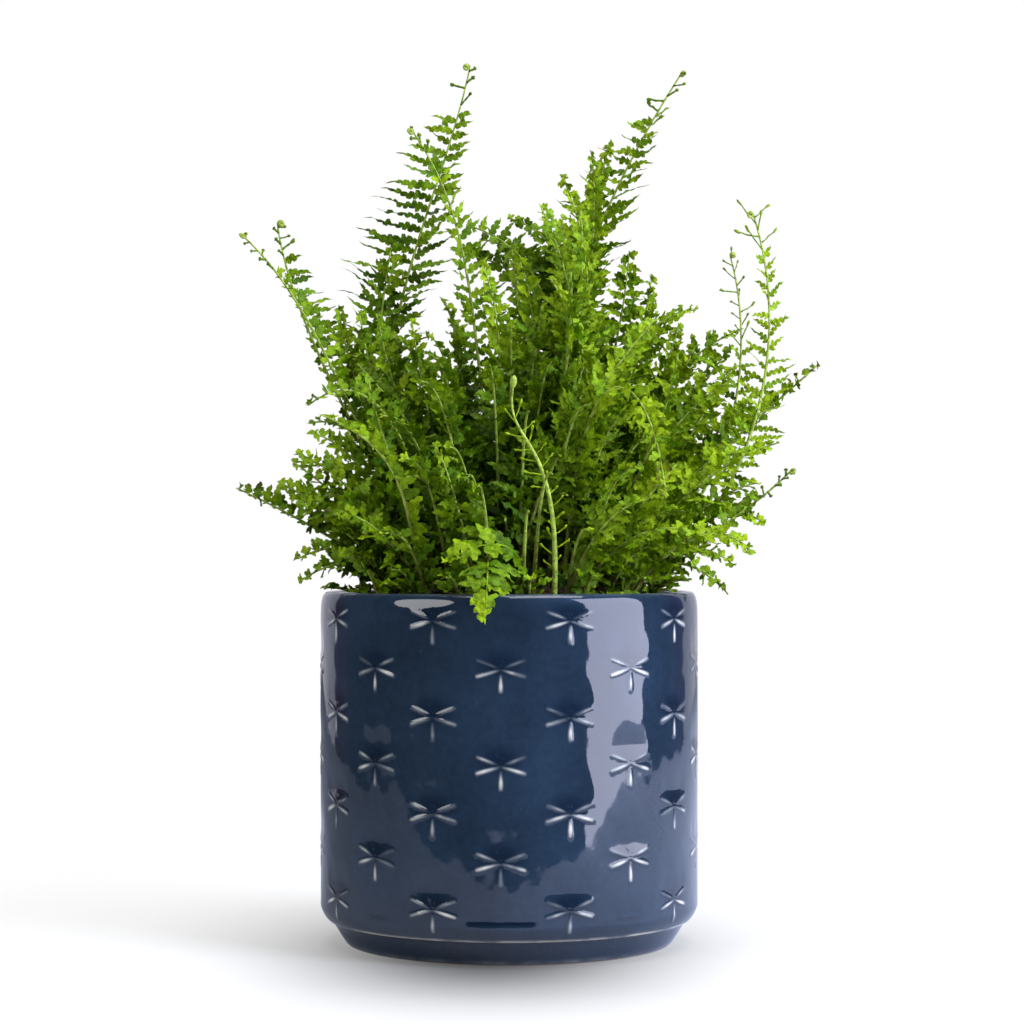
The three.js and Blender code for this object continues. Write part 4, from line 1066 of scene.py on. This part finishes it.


# How pale the lines are, with the half width: at the foot's ridge and edge, partly thin glaze and partly
# painted highlight, and at the lip, a painted highlight
THIN_AND_HIGHLIGHT_LINES = {"ridge": (1.25, 0.85), "edge": (0.45, 0.5), "lip": (0.3, 0.9)}
LIP_TOP, LIP_INSIDE = 130.2, 63
# The least crest that shows, and the bare clay under the foot: its share, how fast it ends, its inner edge
LEAST_CREST = 0.2
BARE = {"share": 1.4, "end": 4, "from": 54.5}


def line(distance, pale, half):
    """A soft pale line of a half width."""
    return pale * np.exp(-((distance / half) ** 2))


def paint_glaze(mesh, radius, angle, z, crest, on_wall):
    """Paints where the glaze runs thin, where it pools and where the clay is bare, with painted shade and
    painted highlights.
    """
    pool = bowl(*motif_place(angle, z), **DARKER)
    # Painted shade in the groove's bar, for the dark reflection there
    bar = np.exp(-(((z - BAR["at"]) / BAR["half"]) ** 4)) * groove_shows(angle)
    thin = np.clip((crest - LEAST_CREST) / (1 - LEAST_CREST), 0, 1) * on_wall
    # Lines at the foot's ridge and edge, partly thin glaze and partly painted highlight, and a painted
    # highlight at the lip
    for key, (at, up) in (("ridge", RIDGE), ("edge", FOOT_EDGE)):
        thin = np.maximum(thin, line(np.hypot(radius - at, z - up), *THIN_AND_HIGHLIGHT_LINES[key]))
    thin = np.maximum(thin, line(z - LIP_TOP, *THIN_AND_HIGHLIGHT_LINES["lip"]) * (radius > LIP_INSIDE))
    bare = np.clip(BARE["share"] - z * BARE["end"], 0, 1) * (radius > BARE["from"])
    # The second channel holds the glaze pooled round a dragonfly and the painted shade of the groove's bar
    paint(mesh, "glaze", np.stack([thin, np.maximum(pool, bar) * on_wall, bare, np.ones_like(thin)], 1))


# The glaze: its cloudy blue, its grain, its pale dots, its pools and the painted shade of the groove's bar,
# its crests from thin to bare with the painted highlights at the foot and the lip, and the clay.
# Colours are linear, and a ramp's places go from 0 to 1.
BODY = ((0.3, (0.007, 0.0143, 0.0272)), (0.7, (0.0135, 0.028, 0.054)))
GRAIN = ((0.3, (0.86, 0.86, 0.86)), (0.7, (1.16, 1.14, 1.12)))
DOTS = ((0.035, (1, 1, 1)), (0.06, (0, 0, 0)))
DOT_SHARE, DOT_COLOUR = 0.03, (0.3, 0.36, 0.42, 1)
# The colour of the glaze pooled round a dragonfly, and of the painted shade in the groove's bar
POOL_AND_SHADE_COLOUR = (0.003, 0.008, 0.02, 1)
CRESTS = ((0.0, (0.02, 0.035, 0.06)), (0.5, (0.17, 0.185, 0.2)), (1.0, (0.5, 0.48, 0.44)))
CREST_WEAR, CREST_FULL = (0.42, 1.08), 0.55
CLAY = (0.42, 0.3, 0.2, 1)
GLAZE_ROUGH, CLAY_ROUGH = 0.045, 0.75


def pot_material():
    """Navy glaze: pale where it runs thin over a ridge and at painted highlights, darker where it pools and
    at painted shade, bare clay under the foot.
    """
    material, tree, shader, add = new_material("navy_glaze")
    where = add("ShaderNodeTexCoord").outputs["Object"]
    glaze = add("ShaderNodeAttribute", attribute_name="glaze").outputs["Color"]
    thin, pool_and_shade, bare = add("ShaderNodeSeparateColor", {"Color": glaze}).outputs
    fine = noise(add, where, scale=420.0, detail=3.0, rough=0.7)
    speck = add("ShaderNodeTexVoronoi", {"Vector": where, "Scale": 90.0}).outputs["Distance"]
    body = ramp(add, noise(add, where, scale=22.0, detail=5.0, rough=0.6), BODY)
    body = mix(add, 1.0, body, ramp(add, fine, GRAIN), "MULTIPLY")
    body = mix(add, math_node(add, "MULTIPLY", ramp(add, speck, DOTS), DOT_SHARE), body, DOT_COLOUR)
    body = mix(add, pool_and_shade, body, POOL_AND_SHADE_COLOUR)
    wear = ranged(add, noise(add, where, scale=95.0, detail=2.0), (0.35, 0.65), CREST_WEAR)
    crest = math_node(add, "MULTIPLY", thin, wear)
    body = mix(add, ranged(add, crest, (0.0, CREST_FULL)), body, ramp(add, crest, CRESTS))
    rough = ranged(add, bare, (0.0, 1.0), (GLAZE_ROUGH, CLAY_ROUGH))
    links = {"Base Color": mix(add, bare, body, CLAY), "Roughness": rough}
    join(tree, shader, {**links, "Normal": bumped(add, fine, strength=0.04, distance=0.0002)})
    return material


def build_pot():
    mesh = pot_mesh()
    shape_pot(mesh)
    pot = new_object("glazed_pot", mesh)
    mesh.materials.append(pot_material())
    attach(pot, "root")
    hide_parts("pot")


SOIL_COLOURS = ((0.32, (0.008, 0.005, 0.003)), (0.72, (0.075, 0.042, 0.022)))


def soil_material():
    material, tree, shader, add = new_material("dark_soil")
    where = add("ShaderNodeTexCoord").outputs["Object"]
    crumbly = noise(add, where, scale=170.0, detail=6.0, rough=0.7)
    links = {"Base Color": ramp(add, crumbly, SOIL_COLOURS), "Roughness": 0.95}
    join(tree, shader, {**links, "Normal": bumped(add, crumbly, strength=0.9, distance=0.0015)})
    return material


SOIL_SEED, SOIL_COLUMNS, SOIL_ROWS = 7, 120, 30
# Lumps on the soil: their height, how they wave across it, and the roughness on them
LUMP, ROUGH_SOIL = 0.5, 0.45
# Rings of the soil's side and bottom: how far in from its edge, and how high
SOIL_SIDE = ((0, 60), (0, SOIL["bottom"] + 6), (6, SOIL["bottom"]))
CRUMBS = {"count": 900, "reach": 0.985, "size": (0.5, 1.7), "uneven": (0.6, 1.25), "sits": 0.3}


def lumps(x, y):
    return math.sin(x * 0.9 + 1.3) * math.sin(y * 0.8 + 0.4) + 0.6 * math.sin(x * 2.1 + y * 1.7)


def build_soil():
    """The soil as a closed block with a rough domed top and crumbs on it."""
    rng = np.random.default_rng(SOIL_SEED)
    reach = SOIL["reach"] - SOIL["gap"]
    turn = np.arange(SOIL_COLUMNS) * 2 * math.pi / SOIL_COLUMNS
    points = [(0, 0, soil_top(0))]
    for radius in np.linspace(0, reach, SOIL_ROWS)[1:]:
        for t in turn:
            x, y = radius * math.cos(t), radius * math.sin(t)
            rough = rng.uniform(-ROUGH_SOIL, ROUGH_SOIL)
            points.append((x, y, soil_top(radius) + LUMP * lumps(x, y) + rough))
    for inward, z in SOIL_SIDE:
        points += [((reach - inward) * math.cos(t), (reach - inward) * math.sin(t), z) for t in turn]
    points.append((0, 0, SOIL["bottom"]))
    rows = len(points) // SOIL_COLUMNS
    top = fan(0, 1, SOIL_COLUMNS)
    bottom = fan(len(points) - 1, 1 + (rows - 1) * SOIL_COLUMNS, SOIL_COLUMNS)[:, ::-1]
    sides = 1 + sleeve(rows, SOIL_COLUMNS)[:, ::-1]
    leafage = Leafage()

    def add(shape, faces):
        leafage.add(shape, np.zeros((len(shape), 3)), np.zeros(len(shape), int), faces, 0)

    add(np.array(points), np.concatenate([top, bottom, sides]))
    crumb_points, crumb_faces = crumb_shape()
    for _ in range(CRUMBS["count"]):
        distance = reach * math.sqrt(rng.uniform()) * CRUMBS["reach"]
        t = rng.uniform(0, 2 * math.pi)
        size = rng.uniform(*CRUMBS["size"])
        shape = crumb_points * rng.uniform(*CRUMBS["uneven"], (len(crumb_points), 1)) * size
        z = soil_top(distance) + CRUMBS["sits"] * size
        add(shape + (distance * math.cos(t), distance * math.sin(t), z), crumb_faces)
    piece = leafage.piece("crumbly_soil", (soil_material(),))
    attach(piece, "root")
    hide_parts("soil")


def crumb_shape():
    """A small ball of twenty triangles."""
    shape = bmesh.new()
    bmesh.ops.create_icosphere(shape, subdivisions=1, radius=1)
    shape.verts.ensure_lookup_table()
    points = np.array([v.co for v in shape.verts])
    faces = np.array([[v.index for v in f.verts] for f in shape.faces])
    shape.free()
    return points, faces


def plane(name, low, high, z, material):
    mesh = bpy.data.meshes.new(name)
    corners = [(low[0], low[1], z), (high[0], low[1], z), (high[0], high[1], z), (low[0], high[1], z)]
    mesh.from_pydata(corners, [], [(0, 1, 2, 3)])
    mesh.materials.append(material)
    made = new_object(name, mesh)
    return made


# The painted shadow of the pot on the floor: an oval, darkest near a middle in front of the pot, in metres
FLOOR_SHADE = {"middle": (-0.012, -0.04, 0), "oval": (1.55, 1, 1), "fall": 0.103, "depth": 0.9}
FLOOR_WHITE = (0.3, 0.3, 0.3)
# Where the floor turns into the studio's white, by the distance from the pot
FLOOR_ENDS = (0.12, 0.3)
TABLE_WIDTH = (-0.3, 0.3)
# The table's colours from left to right: painted lighter to the right, as painted light
TABLE_COLOURS = ((0, (0.22, 0.23, 0.28)), (1, (0.56, 0.6, 0.74)))


def table_material():
    """Pale, and painted lighter towards the right, as painted light from the lamps on that side."""
    material, tree, shader, add = new_material("table_white")
    where = add("ShaderNodeTexCoord").outputs["Object"]
    across = add("ShaderNodeSeparateXYZ", {"Vector": where}).outputs["X"]
    colour = ramp(add, ranged(add, across, TABLE_WIDTH), TABLE_COLOURS)
    join(tree, shader, {"Base Color": colour, "Roughness": 0.9, "Specular IOR Level": 0.1})
    return material


def floor_material():
    """White, with some light of its own, a painted shadow round the pot, and pure white at the studio's wall.
    """
    material, tree, shader, add = new_material("floor_white")
    where = add("ShaderNodeTexCoord").outputs["Object"]

    def vector(operation, output, *values):
        return add("ShaderNodeVectorMath", dict(enumerate(values)), operation=operation).outputs[output]

    # A painted shadow round the pot, in the floor's colour and in its own light
    oval = vector("MULTIPLY", "Vector", where, FLOOR_SHADE["oval"])
    away = vector("DISTANCE", "Value", oval, FLOOR_SHADE["middle"])
    power = math_node(add, "MULTIPLY", math_node(add, "POWER", away, 2.0), -1 / FLOOR_SHADE["fall"] ** 2)
    dark = math_node(add, "EXPONENT", power)
    lit = math_node(add, "MULTIPLY_ADD", dark, -FLOOR_SHADE["depth"], 1.0)
    white = add("ShaderNodeCombineColor", dict.fromkeys(("Red", "Green", "Blue"), lit)).outputs["Color"]
    colour = vector("MULTIPLY", "Vector", white, FLOOR_WHITE)
    join(tree, shader, {"Base Color": colour, "Roughness": 0.9, "Specular IOR Level": 0.0})
    join(tree, shader, {"Emission Color": colour, "Emission Strength": 1.85})
    far = ranged(add, vector("LENGTH", "Value", where), FLOOR_ENDS)
    wall = add("ShaderNodeEmission", {"Strength": 1.0}).outputs["Emission"]
    mixed = mix_shader(add, far, shader.outputs["BSDF"], wall)
    tree.links.new(mixed, tree.nodes["Material Output"].inputs["Surface"])
    return material


# Lowest and highest corner of the floor and the table, and their heights, in metres
FLOOR = ((-6, -6), (6, 6), 0)
TABLE = ((-0.76, -0.32), (0.85, 2), 0.0002)


def build_stage():
    """A white floor, and the smaller pale table top that the glaze mirrors."""
    floor = plane("floor", *FLOOR, floor_material())
    floor.visible_glossy = False
    table = plane("table", *TABLE, table_material())
    table.visible_camera = False
    table.visible_diffuse = False
    table.visible_shadow = False


def area_light(name, place, aim, width, height, power, colour, shape, mirrored):
    data = bpy.data.lights.new(name, "AREA")
    data.shape = shape
    data.size, data.size_y = width, height
    data.energy = power
    data.color = colour
    made = new_object(name, data)
    made.location = place
    way = np.subtract(aim, place)
    made.rotation_euler = Vector(way).to_track_quat("-Z", "Y").to_euler()
    made.visible_glossy = mirrored


WHITE = (1, 1, 1)
LIGHTS = [
    # name, place, aim, width, height, power, colour, shape, mirrored by the glaze
    ("softbox", (1.09, -0.5, 0.5), (0, 0, 0.3), 0.92, 1.3, 26, (0.95, 0.98, 1.24), "RECTANGLE", True),
    ("overhead", (0.1, -0.25, 1.5), (0, 0, 0.15), 1.2, 1.0, 21, WHITE, "RECTANGLE", True),
    ("rim_light", (-0.98, -0.72, 0.62), (0, 0, 0.13), 0.86, 0.74, 9, WHITE, "ELLIPSE", True),
    ("side_light", (1.1, -0.7, 0.9), (0, 0, 0.2), 0.6, 0.6, 21, (0.9, 0.98, 1.12), "RECTANGLE", False),
]
# The studio by how far back it lies, from 0 at the sides to 1 straight behind the pot
ROOM = (
    (0.0, (0.045, 0.05, 0.06)),
    (0.4, (0.045, 0.05, 0.06)),
    (0.46, (0.09, 0.045, 0.06)),
    (0.64, (0.09, 0.045, 0.06)),
    (0.67, (0.72, 0.7, 0.8)),
)
# The light all round: how far back it grows, and from what to what strength
AMBIENT = ((-0.3, 0.6), (0.12, 0.62))


def build_lights():
    for row in LIGHTS:
        area_light(*row)
    world = bpy.data.worlds.new("studio")
    bpy.context.scene.world = world
    world.use_nodes = True
    tree = world.node_tree
    add = adder(tree)
    where = add("ShaderNodeTexCoord").outputs["Generated"]
    back = add("ShaderNodeSeparateXYZ", {"Vector": where}).outputs["Y"]
    # What the glaze mirrors: a dark room in front, reddish towards the sides, and a white wall behind
    mirrored = add("ShaderNodeBackground", {"Color": ramp(add, back, ROOM)})
    # The white wall behind also lights the leaves from behind
    ambient = add("ShaderNodeBackground", {"Strength": ranged(add, back, *AMBIENT)})
    seen = tree.nodes["Background"]
    join(tree, seen, {"Color": (*WHITE, 1), "Strength": 1.0})
    path = add("ShaderNodeLightPath").outputs
    lights = [node.outputs["Background"] for node in (ambient, mirrored, seen)]
    unseen = mix_shader(add, path["Is Glossy Ray"], *lights[:2])
    final = mix_shader(add, path["Is Camera Ray"], unseen, lights[2])
    tree.links.new(final, tree.nodes["World Output"].inputs["Surface"])


# The camera stands in front of the pot, a little over its rim, and looks level
CAMERA = {"x": 0.0011, "distance": 0.98, "height": 0.1464, "lens": 92.55, "shift_up": 0.0342}
SENSOR, CLIP_END = 36, 30


def build_camera():
    data = bpy.data.cameras.new("camera")
    data.lens = CAMERA["lens"]
    data.sensor_width = SENSOR
    data.shift_y = CAMERA["shift_up"]
    data.clip_end = CLIP_END
    camera = new_object("camera", data)
    camera.location = (CAMERA["x"], -CAMERA["distance"], CAMERA["height"])
    camera.rotation_euler = (math.pi / 2, 0, 0)
    bpy.context.scene.camera = camera


build_camera()
build_lights()
build_stage()
build_pot()
build_soil()
all_fronds()

bpy.context.scene.view_settings.view_transform = "Standard"
